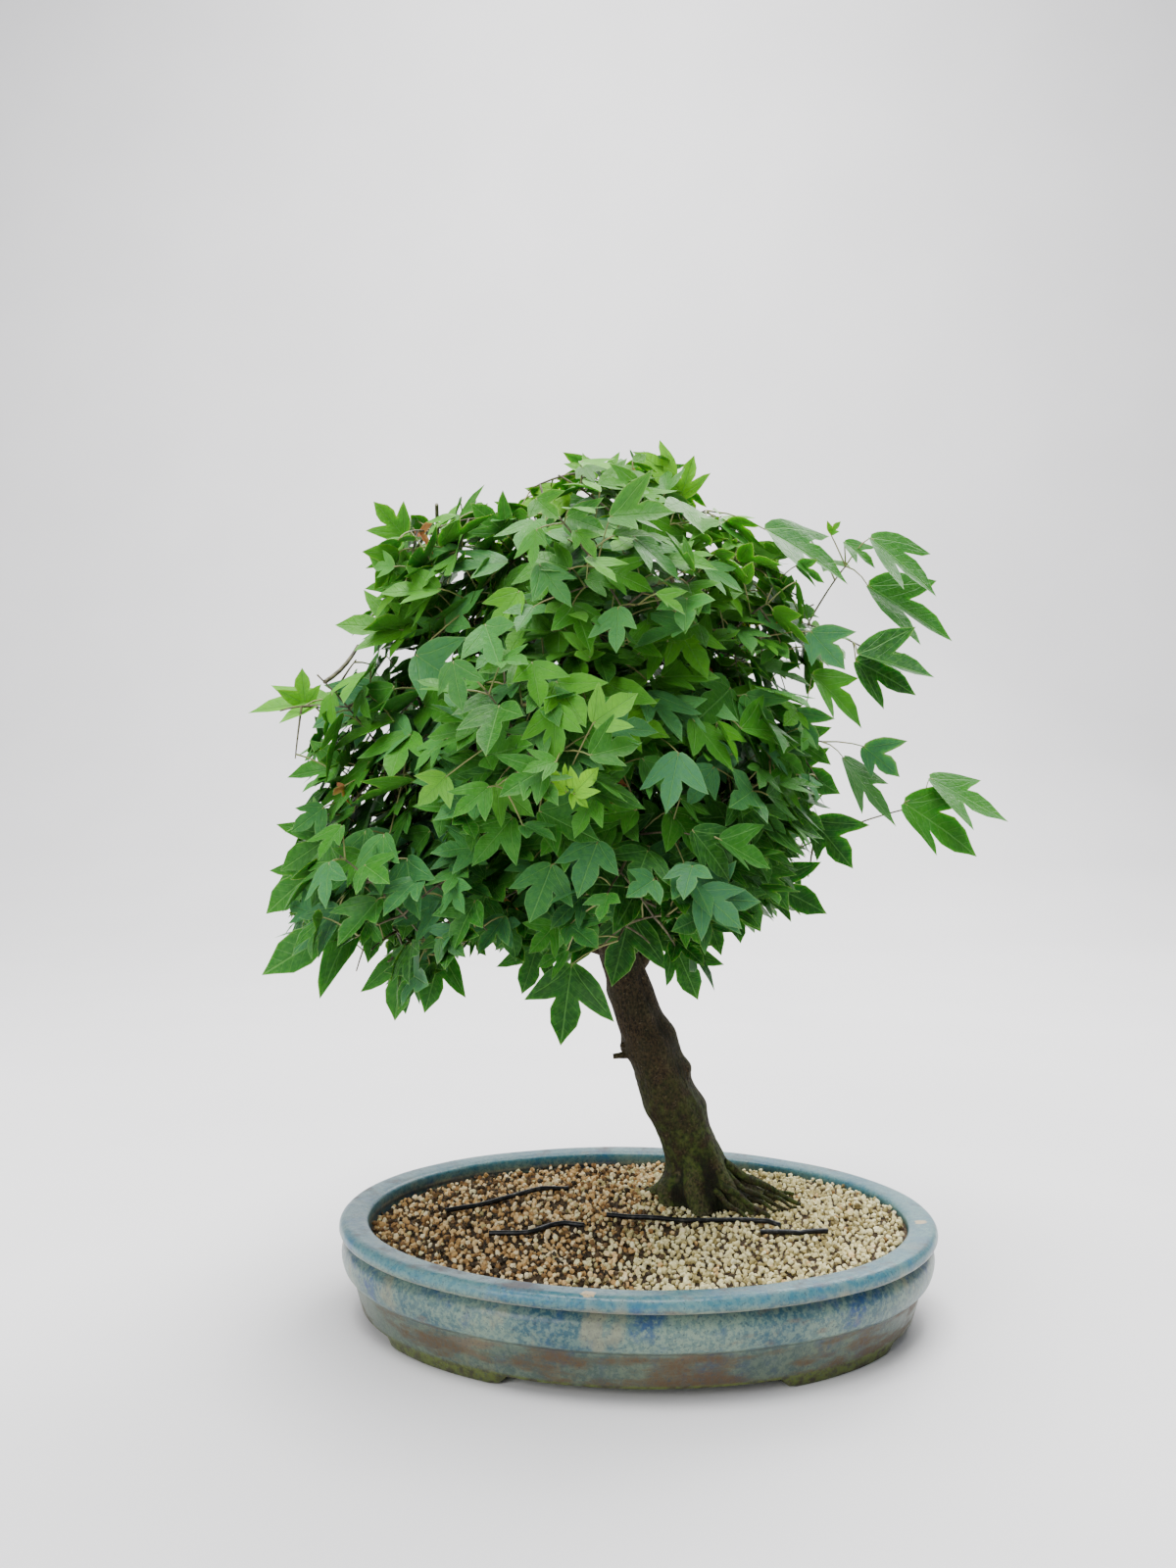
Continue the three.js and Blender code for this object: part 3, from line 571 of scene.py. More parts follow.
def owned(index, p, margin):
    """Whether a point lies in a mass's own share of the crown."""
    deep = depths(p)
    own = deep[index]
    deep[index] = np.inf
    return bool(deep.min() > own + margin)


for end in LONG_SHOOTS:
    masses[int(np.argmin(depths(np.array(end))))]["long"].append(np.array(end, float))
print("masses:", ", ".join(mass["name"] for mass in masses))

# %% Boughs by the rule
# A bough's end is looked for between two shares of its curve, by steps, where it lies this deep in its mass.
BOUGH_BOW, BOUGH_TIP, BOUGH_SHARES, BOUGH_DEPTH = 9, 3, (0.35, 0.8, 0.02), 0.85


def bend_between(a, b, c, t):
    """A point on the curve that leaves a towards b and arrives at c."""
    return (1 - t) ** 2 * a + 2 * t * (1 - t) * b + t**2 * c


def points_on(curve, shares):
    """Points of such a curve (a, b, c)."""
    return [bend_between(*curve, t) for t in shares]


def grow_bough(index, mass):
    """A bough bows up from the trunk and ends where it enters the space of its mass."""
    start, radius = trunk_at(mass["limb"])
    curve = (start, (start + mass["middle"]) / 2 + BOUGH_BOW * UP, mass["middle"])
    end, last, step = BOUGH_SHARES
    while end < last:
        p = bend_between(*curve, end)
        if owned(index, p, 0.05) and depths(p)[index] < BOUGH_DEPTH:
            break
        end += step
    path = points_on(curve, [end * i / 3 for i in range(4)])
    radii = [radius * 0.5 + (BOUGH_TIP - radius * 0.5) * i / 3 for i in range(4)]
    mass.update(foot=path[-1], way=unit(path[-1] - path[-2]), bough=(path, radii), curve=(curve, end))


def clear_of_limbs(p):
    """How near a point comes to the trunk or a bough, less that limb's radius."""
    beside, radius = trunk_at(p[2])
    clear = np.linalg.norm(p - beside) - radius
    for path, radii in (mass["bough"] for mass in masses if "bough" in mass):
        for i in range(3):
            along = path[i + 1] - path[i]
            t = min(max(np.dot(p - path[i], along) / np.dot(along, along), 0), 1)
            reach = radii[i] + (radii[i + 1] - radii[i]) * t
            clear = min(clear, np.linalg.norm(p - path[i] - t * along) - reach)
    return clear


for index, mass in enumerate(masses[:-1]):
    grow_bough(index, mass)
print("boughs:", len(masses) - 1)

# %% Shoots by the rule
# A mass's stem starts STEM_GAP beyond its bough's tip, bends at the collar, and ends at the hub.
STEM_GAP, COLLAR, HUB_SHARE = 0.3, 2.4, 0.6
SHOOTS = 7
SHORTEST_SHOOT = 25
SHOOT_SHARE, LEAST_SHARE, DRAW_IN = (0.58, 0.2), 0.2, 0.06
STEM_RADIUS, SHOOT_RADIUS, SHOOT_TIP = 2.4, 1.5, 0.9


def even_shares(curve, shares):
    """Points at these shares of a curve's length, and the length."""
    grid = np.linspace(0, 1, 201)
    samples = np.array(points_on(curve, grid))
    length = np.concatenate([[0], np.cumsum(np.linalg.norm(np.diff(samples, axis=0), axis=1))])
    return points_on(curve, [np.interp(share * length[-1], length, grid) for share in shares]), length[-1]


def shoot_ends(index, mass, random):
    """Even directions round the mass's middle, drawn in until they lie in its own space."""
    ends = list(mass["long"])
    phase = next(random) * 2 * math.pi
    for i in range(SHOOTS):
        even = even_way(i, SHOOTS, phase)
        way = even * mass["half"]
        share = (SHOOT_SHARE[0] + SHOOT_SHARE[1] * next(random)) * (1 + 0.4 * even[2])
        while share > LEAST_SHARE:
            p = mass["middle"] + share * way
            if owned(index, p, 0.12) and clear_of_limbs(p) > 6:
                break
            share -= DRAW_IN
        ends.append(mass["middle"] + share * way)
    return ends


def grow_wood(index, mass, random):
    """A stem from the bough's tip to a hub, then each shoot from the nearest wood there is."""
    base = mass["foot"] + STEM_GAP * mass["way"]
    collar = base + COLLAR * mass["way"]
    hub = base + HUB_SHARE * (mass["middle"] - base)
    wood = [(collar + share * (hub - collar), STEM_RADIUS) for share in (0.6, 0.94)]
    mass["stem"] = (base - 3 * mass["way"], collar, hub)
    mass["shoots"] = []
    for end in sorted(shoot_ends(index, mass, random), key=lambda p: np.linalg.norm(p - base)):
        start, thick = min(wood, key=lambda place: np.linalg.norm(end - place[0]))
        long = np.linalg.norm(end - start)
        path = (start, start + 0.55 * (end - start) + 0.08 * long * UP, end)
        radius = min(0.85 * thick, SHOOT_RADIUS)
        near = [path[i] + j / 6 * (path[i + 1] - path[i]) for i in range(2) for j in range(7)]
        if long < SHORTEST_SHOOT or min(clear_of_limbs(p) for p in near) < radius + 1:
            continue
        step = 3 / even_shares(path, ())[1]
        marks, _ = even_shares(path, (0, 0.5, 0.5 + step, 1 - step))
        long_one = any(end is far_end for far_end in mass["long"])
        mass["shoots"].append(dict(curve=path, radius=radius, long=long_one))
        wood.append((marks[0] + 0.55 * (marks[1] - marks[0]), radius + 0.3 * (SHOOT_TIP - radius)))
        wood.append((marks[2] + 0.3 * (marks[3] - marks[2]), radius + 0.6 * (SHOOT_TIP - radius)))
    mass["wood"] = [p for p, _ in wood]


for index, mass in enumerate(masses):
    grow_wood(index, mass, seeded(SEED + 2 * index))
print("shoots:", sum(len(mass["shoots"]) for mass in masses))

# %% [markdown]
# ## Tubes from paths
# Boughs, shoots, twigs, leaf stalks, roots and wires are all tubes that follow a path and thin towards its
# end. A curve object for each would be slow to handle, so all paths of one kind become one mesh of bare
# edges whose points carry their radius, and a Geometry Nodes tree turns every chain of edges into a tube.


# %% Helpers for Geometry Nodes
def new_geometry_tree(name, **inputs):
    """A Geometry Nodes tree with a geometry input and output, these inputs and a material."""
    inputs = dict(Geometry=("Geometry", None), **inputs, Material=("Material", None))
    return new_tree("GeometryNodeTree", name, ("Geometry", "Geometry"), **inputs)


def finish_tree(recipe, geometry, given, output):
    """The end of each tree: real geometry instead of instances, then its material."""
    real = recipe.node("GeometryNodeRealizeInstances", {"Geometry": geometry})
    painted = recipe.node("GeometryNodeSetMaterial", {"Geometry": real, "Material": given["Material"]})
    recipe.tree.links.new(painted, output)


def put_patterns(recipe, points, collection, turn, size, number=None):
    """Put one of a collection's patterns on each point, by its number or else by chance."""
    inputs = {"Collection": collection, "Separate Children": True, "Reset Children": True}
    patterns = recipe.node("GeometryNodeCollectionInfo", inputs)
    rotation = recipe.node("FunctionNodeEulerToRotation", {0: turn})
    inputs = {"Points": points, "Instance": patterns, "Pick Instance": True}
    inputs.update({"Rotation": rotation, "Scale": size, **({"Instance Index": number} if number else {})})
    return recipe.node("GeometryNodeInstanceOnPoints", inputs)


def named(recipe, name, kind="FLOAT"):
    """An attribute of the mesh that a Geometry Nodes tree works on."""
    return recipe.node("GeometryNodeInputNamedAttribute", {"Name": name}, "Attribute", data_type=kind)


def run_tree(obj, tree, **values):
    """Put a Geometry Nodes tree on an object with these inputs, and keep the result as a plain mesh."""
    modifier = obj.modifiers.new(tree.name, "NODES")
    modifier.node_group = tree
    for item in tree.interface.items_tree:
        if item.item_type == "SOCKET" and item.in_out == "INPUT" and item.name in values:
            modifier[item.identifier] = values[item.name]
    bake_modifiers(obj)
    return obj


# %% Geometry Nodes for tubes
tubes, tube_in, tube_out = new_geometry_tree(
    "Tubes along paths", Sides=("Int", 8), Relief=("Float", 0.0), Fineness=("Float", 200.0)
)
radius = named(tubes, "radius")
paths = tubes.node("GeometryNodeMeshToCurve", {"Mesh": tube_in["Geometry"]})
sized = tubes.node("GeometryNodeSetCurveRadius", {"Curve": paths, "Radius": radius})
outline = tubes.node("GeometryNodeCurvePrimitiveCircle", {"Resolution": tube_in["Sides"], "Radius": 1.0})
skin = tubes.node(
    "GeometryNodeCurveToMesh", {"Curve": sized, "Profile Curve": outline, "Scale": radius, "Fill Caps": True}
)
centred = tubes.math("SUBTRACT", tubes.noise(tube_in["Fineness"], 3.0), 0.5)
lift = tubes.times(centred, tube_in["Relief"])
normal = tubes.node("GeometryNodeInputNormal")
push = tubes.node("ShaderNodeVectorMath", {0: normal, "Scale": lift}, operation="SCALE")
uneven = tubes.node("GeometryNodeSetPosition", {"Geometry": skin, "Offset": push})
finish_tree(tubes, tubes.node("GeometryNodeSetShadeSmooth", {"Geometry": uneven}), tube_in, tube_out)


def make_tubes(name, chains, look, sides, relief, fineness):
    """Tubes along chains of (points, radii), in millimetres, with a material and a relief of noise."""
    points, edges, radii = [], [], []
    for path, thick in chains:
        first = len(points)
        points += [tuple(p) for p in path]
        radii += list(thick)
        edges += [(first + i, first + i + 1) for i in range(len(path) - 1)]
    obj = add_mesh(name, points, [], edges)
    set_values(obj, radius=np.array(radii) * MM)
    run_tree(obj, tubes.tree, Sides=sides, Relief=relief * MM, Fineness=fineness, Material=look)
    count_faces(obj)
    return obj


print("tree:", tubes.tree.name, "with", len(tubes.tree.nodes), "nodes")

# %% [markdown]
# ## Bark
# The bark is dark brown and finely fissured, greener near the ground where moss grows, with a pale scar
# low on the front where an old root or branch was taken off. Ridges are paler, and hollows are darkened with
# painted shade: the mesh carries how deep each point lies in the attribute hollow. The fissures are partly in
# the mesh and partly in the bump. Moss is a mask that grows stronger downwards and on faces that look up.

# %% Bark material
SCAR = (0.0245, 0.0085, 0.078)
MOSS_FROM, MOSS_FULL = 0.2, 0.085
bark = Finish("maple_bark", 0.85, Specular_IOR_Level=0.3)
tone = bark.patches(700, 0.36, 0.64, 8, 0.7)
facing_up = bark.axis("Z", bark.node("ShaderNodeNewGeometry", output="Normal"))
low_down = bark.step(bark.axis("Z"), MOSS_FROM, MOSS_FULL)
moss_noise = bark.patches(110, 0.34, 0.6, 8)
moss_amount = bark.times(bark.scaled(facing_up, 0.35, low_down, clamp=True), low_down)
moss_tint = bark.mix(bark.patches(300, 0.4, 0.6), (0.014, 0.032, 0.004), (0.07, 0.105, 0.016))
hollow = bark.attribute("hollow")
scar = bark.step(bark.scaled(moss_noise, 0.003, bark.away_from(SCAR)), 0.007, 0.0045)
colour = bark.tints(
    bark.mix(tone, (0.009, 0.005, 0.002), (0.055, 0.035, 0.014)),
    (bark.patches(60, 0.4, 0.66, 6, 0.7), 0.5, (0.022, 0.024, 0.008)),
    (bark.patches(480, 0.58, 0.7, 7, 1.6), 0.55, (0.16, 0.13, 0.075)),
    (bark.times(moss_amount, moss_noise), 0.8, moss_tint),
    (bark.times(bark.step(hollow, -0.1, -0.9), tone), 0.4, (0.15, 0.13, 0.06)),
    # Painted shade in the hollows, darker where they lie deeper.
    (bark.step(hollow, 0.05, 0.8), 0.75, (0.006, 0.006, 0.003)),
    (scar, 0.6, (0.22, 0.19, 0.09)),
)
upright = bark.node("ShaderNodeVectorMath", {0: bark.place, 1: (1.0, 1.0, 0.3)}, operation="MULTIPLY")
relief = bark.scaled(bark.noise(900, 4), 0.35, bark.noise(420, 8, upright))
bark.lay_on(colour, relief, 2.2, 0.9)

# %% [markdown]
# ## Trunk
# A trunk could be a tapered tube, but what makes this one a tree is its unevenness: the roots that stand
# out at its foot, swellings where branches were cut, ridges that wind up it, and flaky bark. So its radius
# is a function of height and direction: the same table and roots as the CAD model, then bumps and noise.

# %% Trunk mesh
# A bump's row is its height, its direction in degrees, how far it stands out, how tall it is, and its width
# as an angle.
TRUNK_STEPS, TRUNK_RINGS = 112, 250
FULL_RADIUS = 19
WINDING, RIDGES, SWELLING, FLAKES, CRACK = 0.011, (0.7, 0.5), 0.6, 0.35, 0.22
HOLLOW_STEPS, HOLLOW_DEEP = range(-9, 10), 1.6
BUMPS = [
    (174, -4, 3.0, 7, 0.5), (149, -8, 4.2, 6, 0.45), (125, 2, 2.6, 7, 0.5), (158, 178, 4.0, 6, 0.4),
    (118, 190, 1.8, 9, 0.6), (104, -80, 1.8, 9, 0.5), (137, -105, 1.6, 7, 0.4), (186, -60, 2.0, 7, 0.5),
    (79, -92, 2.4, 6, 0.36), (196, 170, 2.2, 7, 0.5), (67, 192, 9.0, 8, 0.34), (72, 222, 4.0, 8, 0.26),
    (70, 248, 5.5, 9, 0.3), (68, 284, 5.0, 8, 0.22), (74, 318, 4.0, 9, 0.26), (64, 338, 4.0, 6, 0.2),
]


def turn_apart(angle, degrees):
    """How far an angle is from a direction in degrees, the short way round."""
    return math.remainder(angle - math.radians(degrees), 2 * math.pi)


def trunk_radius(angle, z, line_radius):
    """The trunk's radius in one direction at one height."""
    up = z - GROUND
    reach = line_radius
    for toward, wide, out, fade in ROOTS:
        apart = turn_apart(angle, toward) / math.radians(wide)
        reach += out * math.exp(-(apart**2) - up / fade)
    for height, toward, out, tall, wide in BUMPS:
        apart = turn_apart(angle, toward) / wide
        reach += out * math.exp(-(apart**2) - ((z - height) / tall) ** 2)
    taper = line_radius / FULL_RADIUS
    wound = angle + z * WINDING
    reach += taper * (RIDGES[0] * math.sin(3 * wound + 1) + RIDGES[1] * math.sin(5 * wound - 0.02 * z + 2))
    swelling = Vector((math.cos(angle) * 3.4, math.sin(angle) * 3.4, z * 0.045))
    reach += taper * SWELLING * noise.fractal(swelling, 0.9, 2.1, 4)
    flake = Vector((math.cos(angle) * 10, math.sin(angle) * 10, z * 0.16))
    return reach - taper * FLAKES * max(0, CRACK - abs(noise.noise(flake))) / CRACK


def trunk_mesh():
    """Rings up the trunk, closer together near the ground, its faces, and how hollow each point is."""
    heights = GROUND + (TRUNK_LINE[-1][0] - GROUND) * np.linspace(0, 1, TRUNK_RINGS) ** 1.25
    line = smooth_rows(TRUNK_LINE, 8)
    points, reaches = [], []
    for z in heights:
        (x, y, _), radius = section(line, z)
        for angle in angles_round(TRUNK_STEPS):
            reach = trunk_radius(angle, z, radius)
            reaches.append(reach)
            points.append((x + reach * math.cos(angle), y + reach * math.sin(angle), z))
    reaches = np.array(reaches).reshape(len(heights), TRUNK_STEPS)
    around = np.mean([np.roll(reaches, k, axis=1) for k in HOLLOW_STEPS], axis=0)
    hollow = np.clip((around - reaches) / HOLLOW_DEEP, -1, 1)
    return points, capped_faces(len(heights), TRUNK_STEPS), hollow


*trunk_shape, hollows = trunk_mesh()
trunk = add_mesh("bark_trunk", *trunk_shape)
set_values(trunk, hollow=hollows)
trunk.data.materials.append(bark.material)
count_faces(trunk)
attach(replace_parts(trunk, "trunk"), "root")

# %% [markdown]
# ## Boughs, stubs and thin roots
# The boughs run through the leaves, two stubs on the left are what pruning left of old shoots, and thin roots
# creep over the gravel on the right. All of them are tubes along curves.

# %% Boughs, stubs and thin roots
# A thin root's row is its radius, then the points that it leaves, heads for and arrives at.
STUBS_AT = 158
STUBS = [((-0.96, -0.1, -0.12), 9), ((-0.9, -0.2, 0.2), 5)]
THIN_ROOTS = [
    (3.4, (58, 20, 84), (80, 22, 72), (108, 15, 60)), (2.4, (58, 14, 80), (74, 9, 68), (98, 4, 60)),
    (3.1, (54, 10, 76), (67, 1, 67), (84, -9, 60)), (2.2, (50, 6, 72), (57, -5, 66), (70, -14, 60)),
    (2.6, (60, 24, 80), (86, 32, 67), (106, 33, 60)), (1.7, (84, 18, 67), (95, 10, 64), (104, 7, 60)),
    (1.6, (72, 6, 67), (84, 2, 64), (92, -2, 60)),
]
limb_chains = []
for mass in masses[:-1]:
    curve, end = mass["curve"]
    shares = np.linspace(0.0, end, 14)
    thick = mass["bough"][1][0] * 0.95
    limb_chains.append((points_on(curve, shares), [thick + (2.8 - thick) * t / end for t in shares]))
foot, radius = trunk_at(STUBS_AT)
for way, long in STUBS:
    way = unit(np.array(way))
    shares = np.linspace(0, 1, 6)
    points = [foot + way * (radius * 0.6 + share * (radius * 0.4 + long)) for share in shares]
    limb_chains.append((points, [3.2 - 1.6 * share for share in shares]))
for thick, *row in THIN_ROOTS:
    curve = [np.array(p, float) for p in row]
    points = []
    for t in np.linspace(0, 1, 16):
        winding = (0, 1.7 * math.sin(8 * t + curve[0][1]), 0.8 * math.sin(11 * t + curve[0][0]))
        points.append(bend_between(*curve, t) + winding)
    limb_chains.append((points, [thick * (1 - 0.6 * t) for t in np.linspace(0, 1, 16)]))
boughs = make_tubes("bark_boughs", limb_chains, bark.material, 16, 1.6, 160.0)
bough_nodes = [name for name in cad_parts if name.startswith("bough_")]
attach(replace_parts(boughs, *bough_nodes), "root")

# %% [markdown]
# ## Leaves
# A trident maple's leaf has three lobes that point forwards, the middle one longest, and three veins that
# run from the stalk into them. A flat card with a picture would be the quickest leaf, but here each leaf is
# a small closed mesh in its own outline, folded along its veins and curled. Fourteen patterns with different
# folds are made once, the last two of them curled up and dry. Their veins come from a UV map and a painted
# highlight along their margin from the attribute near_edge, and four numbers on each leaf set its tone with
# painted light and shade, a painted glow of light through it that also marks new growth, its bluish bloom
# (the film of an older leaf) with a painted sheen of the sky, and whether it is dry.

# %% Leaf material
leaf = Finish(
    "maple_leaf", 0.5, IOR=1.22, Specular_IOR_Level=0.5,
    Subsurface_Weight=0.15, Subsurface_Radius=(0.4, 0.9, 0.1), Subsurface_Scale=0.001,
)
card = leaf.node("ShaderNodeUVMap", uv_map="leaf_card")
across = leaf.math("ABSOLUTE", leaf.math("SUBTRACT", leaf.axis("X", card), 0.5))
along = leaf.axis("Y", card)
middle_vein = leaf.step(across, 0.016, 0.004)
slope = leaf.math("SUBTRACT", leaf.times(along, 0.8), across)
side_vein = leaf.times(leaf.step(leaf.math("ABSOLUTE", slope), 0.014, 0.003), leaf.step(along, 0.6, 0.48))
rib = leaf.math("PINGPONG", leaf.times(leaf.scaled(across, -0.8, along), 9.0), 0.5)
fine_vein = leaf.times(leaf.step(rib, 0.07, 0.01), 0.45)
veins = leaf.math("MAXIMUM", leaf.math("MAXIMUM", middle_vein, side_vein), fine_vein)
dry = leaf.attribute("dry")
cloudy = leaf.patches(75, 0.35, 0.7, 3)
green = leaf.tints(
    leaf.ramp(
        # tone carries painted light and shade by height and depth in the crown, along with each leaf's own
        # green.
        leaf.attribute("tone"),
        (0.0, (0.008, 0.048, 0.005)), (0.35, (0.02, 0.115, 0.011)),
        (0.7, (0.042, 0.21, 0.01)), (1.0, (0.1, 0.35, 0.01)),
    ),
    # Painted glow of light through the leaves near the top and outside of the crown, and the lime green of new
    # growth.
    (leaf.attribute("fresh"), 1, (0.22, 0.58, 0.01)),
    (cloudy, 0.3, (0.02, 0.11, 0.03)),
    # A bluish bloom, partly a painted sheen of the sky on the leaf.
    (leaf.attribute("bloom"), 1, (0.06, 0.205, 0.095)),
    (leaf.patches(330, 0.42, 0.62, 4), 0.2, (0.08, 0.27, 0.03)),
    (veins, 0.42, (0.13, 0.34, 0.07)),
    # A painted highlight along the leaf's margin.
    (leaf.step(leaf.attribute("near_edge"), 0.92, 0.97), 0.35, (0.16, 0.4, 0.1)),
    (leaf.attribute("underside"), 0.4, (0.07, 0.22, 0.03)),
    (dry, 1, leaf.mix(cloudy, (0.2, 0.065, 0.025), (0.42, 0.17, 0.065))),
)
gloss = leaf.scaled(dry, 0.3, leaf.scaled(cloudy, 0.14, 0.4))
leaf.lay_on(green, leaf.scaled(veins, -0.6, leaf.noise(320, 3)), 0.7, 0.8, roughness=gloss)

# %% Leaf patterns
# Points 0 to 4 lie on the middle rib. The right half follows, 12 points of the outline (5 to 16) and 2 on
# the side vein (17 and 18), and then the left half in the same order. INNER are the points off the outline.
# A side lobe begins LOBE_FROM aside of the rib and is whole LOBE_WIDE further out.
MIDRIB = [(0, 0), (0, 0.28), (0, 0.52), (0, 0.76), (0, 1.0)]
HALF_OUTLINE = [
    (0.06, -0.02), (0.15, 0.015), (0.25, 0.09), (0.345, 0.21), (0.405, 0.35), (0.525, 0.66), (0.37, 0.595),
    (0.25, 0.505), (0.15, 0.44), (0.2, 0.565), (0.17, 0.74), (0.062, 0.895),
]
SIDE_VEIN = [(0.145, 0.17), (0.31, 0.38)]
HALF_FACES = [
    (0, 5, 17), (5, 6, 17), (6, 7, 17), (17, 7, 18), (7, 8, 18), (8, 9, 18), (9, 10, 18), (18, 10, 11),
    (18, 11, 12), (18, 12, 13), (17, 18, 13), (17, 13, 1), (0, 17, 1), (1, 13, 2), (2, 13, 14), (2, 14, 3),
    (3, 14, 15), (3, 15, 16), (3, 16, 4),
]
HALF_POINTS = len(HALF_OUTLINE + SIDE_VEIN)
NOTCHES = [13, 13 + HALF_POINTS]
INNER = [1, 2, 3, 17, 18, 17 + HALF_POINTS, 18 + HALF_POINTS]
THICKNESS = 0.011
LOBE_FROM, LOBE_WIDE, MIDDLE_LOBE = 0.15, 0.25, 0.55
PATTERNS = 14
CURLED = 2


def leaf_points(fold, curl, droop, wave, slim, lobes, notch, rng):
    """The 33 points of a leaf of length 1 seen from above, as flat coordinates and as the folded shape.

    lobes holds, for the right and the left side lobe, how much longer it is and how far it turns in."""
    half = np.array(HALF_OUTLINE + SIDE_VEIN)
    flat = np.vstack([MIDRIB, half, half * (-1, 1)])
    side = np.sign(flat[:, 0])
    lobe = np.clip((np.abs(flat[:, 0]) - LOBE_FROM) / LOBE_WIDE, 0, 1)
    lobe = np.where((flat[:, 1] > MIDDLE_LOBE) & (np.abs(flat[:, 0]) < LOBE_WIDE), 0, lobe)
    longer = 1 + np.where(side > 0, lobes[0], lobes[1]) * lobe
    turn_in = np.where(side > 0, lobes[2], lobes[3]) * lobe
    x, y = flat[:, 0] * longer * slim, flat[:, 1] * longer
    turned = x * np.cos(turn_in) - side * y * np.sin(turn_in)
    y = y * np.cos(turn_in) + np.abs(x) * np.sin(turn_in)
    x = turned
    y[NOTCHES] += notch
    z = fold * np.abs(x) * (1 - 0.4 * y) - curl * y**2 - droop * lobe**1.5
    z += wave * np.sin(7 * y + side * 1.3 + rng.uniform(0, 6)) * np.clip(np.abs(x) * 4, 0, 1)
    return flat, np.stack([x * math.cos(fold * 0.6), y * (1 - 0.35 * curl), z], axis=1)


def leaf_pattern(number):
    """One closed leaf: an upper and a lower side that meet at the outline. The last ones are curled up."""
    rng = np.random.default_rng(40 + number)
    curled = number >= PATTERNS - CURLED
    flat, upper = leaf_points(
        fold=rng.uniform(0.9, 1.3) if curled else rng.uniform(0.08, 0.5),
        curl=rng.uniform(0.6, 0.9) if curled else rng.uniform(-0.05, 0.2),
        droop=rng.uniform(-0.06, 0.1),
        wave=0.05 if curled else rng.uniform(0.006, 0.022),
        slim=rng.uniform(0.85, 1.12),
        lobes=[*rng.uniform(-0.18, 0.1, 2), *rng.uniform(-0.24, 0.08, 2)],
        notch=rng.uniform(-0.06, 0.05),
        rng=rng,
    )
    lower_of = {i: len(upper) + k for k, i in enumerate(INNER)}
    left_of = {i: i + HALF_POINTS for i in range(5, 5 + HALF_POINTS)}
    points = np.vstack([upper, upper[INNER] - (0, 0, THICKNESS)])
    cards = np.vstack([flat, flat[INNER]])
    top = HALF_FACES + [tuple(left_of.get(i, i) for i in reversed(face)) for face in HALF_FACES]
    bottom = [tuple(lower_of.get(i, i) for i in reversed(face)) for face in top]
    obj = add_mesh(f"leaf_pattern_{number:02d}", points / MM, top + bottom)
    uv = obj.data.uv_layers.new(name="leaf_card")
    for loop in obj.data.loops:
        x, y = cards[loop.vertex_index]
        uv.data[loop.index].uv = (x + 0.5, y)
    set_values(obj, domain="FACE", underside=[0.0] * len(top) + [1.0] * len(bottom))
    set_values(obj, near_edge=[float(i < len(upper) and i not in INNER) for i in range(len(points))])
    rim = {frozenset((a, b)) for a, b in zip([0, *range(5, 17)], [*range(5, 17), 4])}
    rim |= {frozenset(left_of.get(i, i) for i in edge) for edge in rim}
    set_values(obj, "BOOLEAN", "EDGE", sharp_edge=[frozenset(edge.vertices) in rim for edge in obj.data.edges])
    return obj


leaf_patterns = bpy.data.collections.new("leaf_patterns")
for number in range(PATTERNS):
    pattern = leaf_pattern(number)
    leaf_patterns.objects.link(pattern)
    bpy.context.scene.collection.objects.unlink(pattern)

# %% [markdown]
# ## Where the leaves are
# Maple leaves stand in opposite pairs, each pair turned a quarter from the last, and a leaf at the tip. The
# shoots of the rule are carried further here: fine twigs grow from the nearest wood to many even directions
# in each mass, and every twig has its own pairs. A leaf hangs outwards on its stalk with its face to the
# light. One that would leave the space of its mass, cross the outline that the real crown has from the front,
# or sit in another leaf is turned a little, made smaller, and in the end left out. Some leaves on the edge
# and on the front are placed one by one first, because an eye knows a crown by them.

# %% Sizes of leaves and twigs
# A placed leaf's row is its foot (x, y, z), its tip (x, z), how far its face turns to the front, its tone and
# its bloom with a painted sheen. Leaves at the front, from NEAR_FROM to NEAR_FULL millimetres, are up to
# NEAR_SMALLER smaller. A share is (at least, more by chance). The probes are the tips and foot of a leaf of
# length 1, and LEAF_ROOM is how near the next leaf may be to its middle.
LEAF_LENGTH, LEAF_SHARE = 43, (0.6, 0.58)
STALK_LENGTH, STALK_SHARE = 22, (0.45, 0.9)
LEAF_TURN = 2.7
LEAF_PROBES = ((0, 1), (0.5, 0.54), (-0.5, 0.54), (0, 0.05))
LEAF_ROOM = 0.31
NEAR_FROM, NEAR_FULL, NEAR_SMALLER = 70, 150, 0.3
TRIES = 7
FINE_TWIGS, SHORTEST_TWIG, LONG_TWIG = 26, 12, 45
FINE_SHARE = (0.42, 0.34)
REACH = 1.08
PLACED_SEED, LEAF_SEED = 900, 7000
PRUNED_ENDS = [(-72, -52, 486), (-129, -40, 505), (-178, -30, 419)]
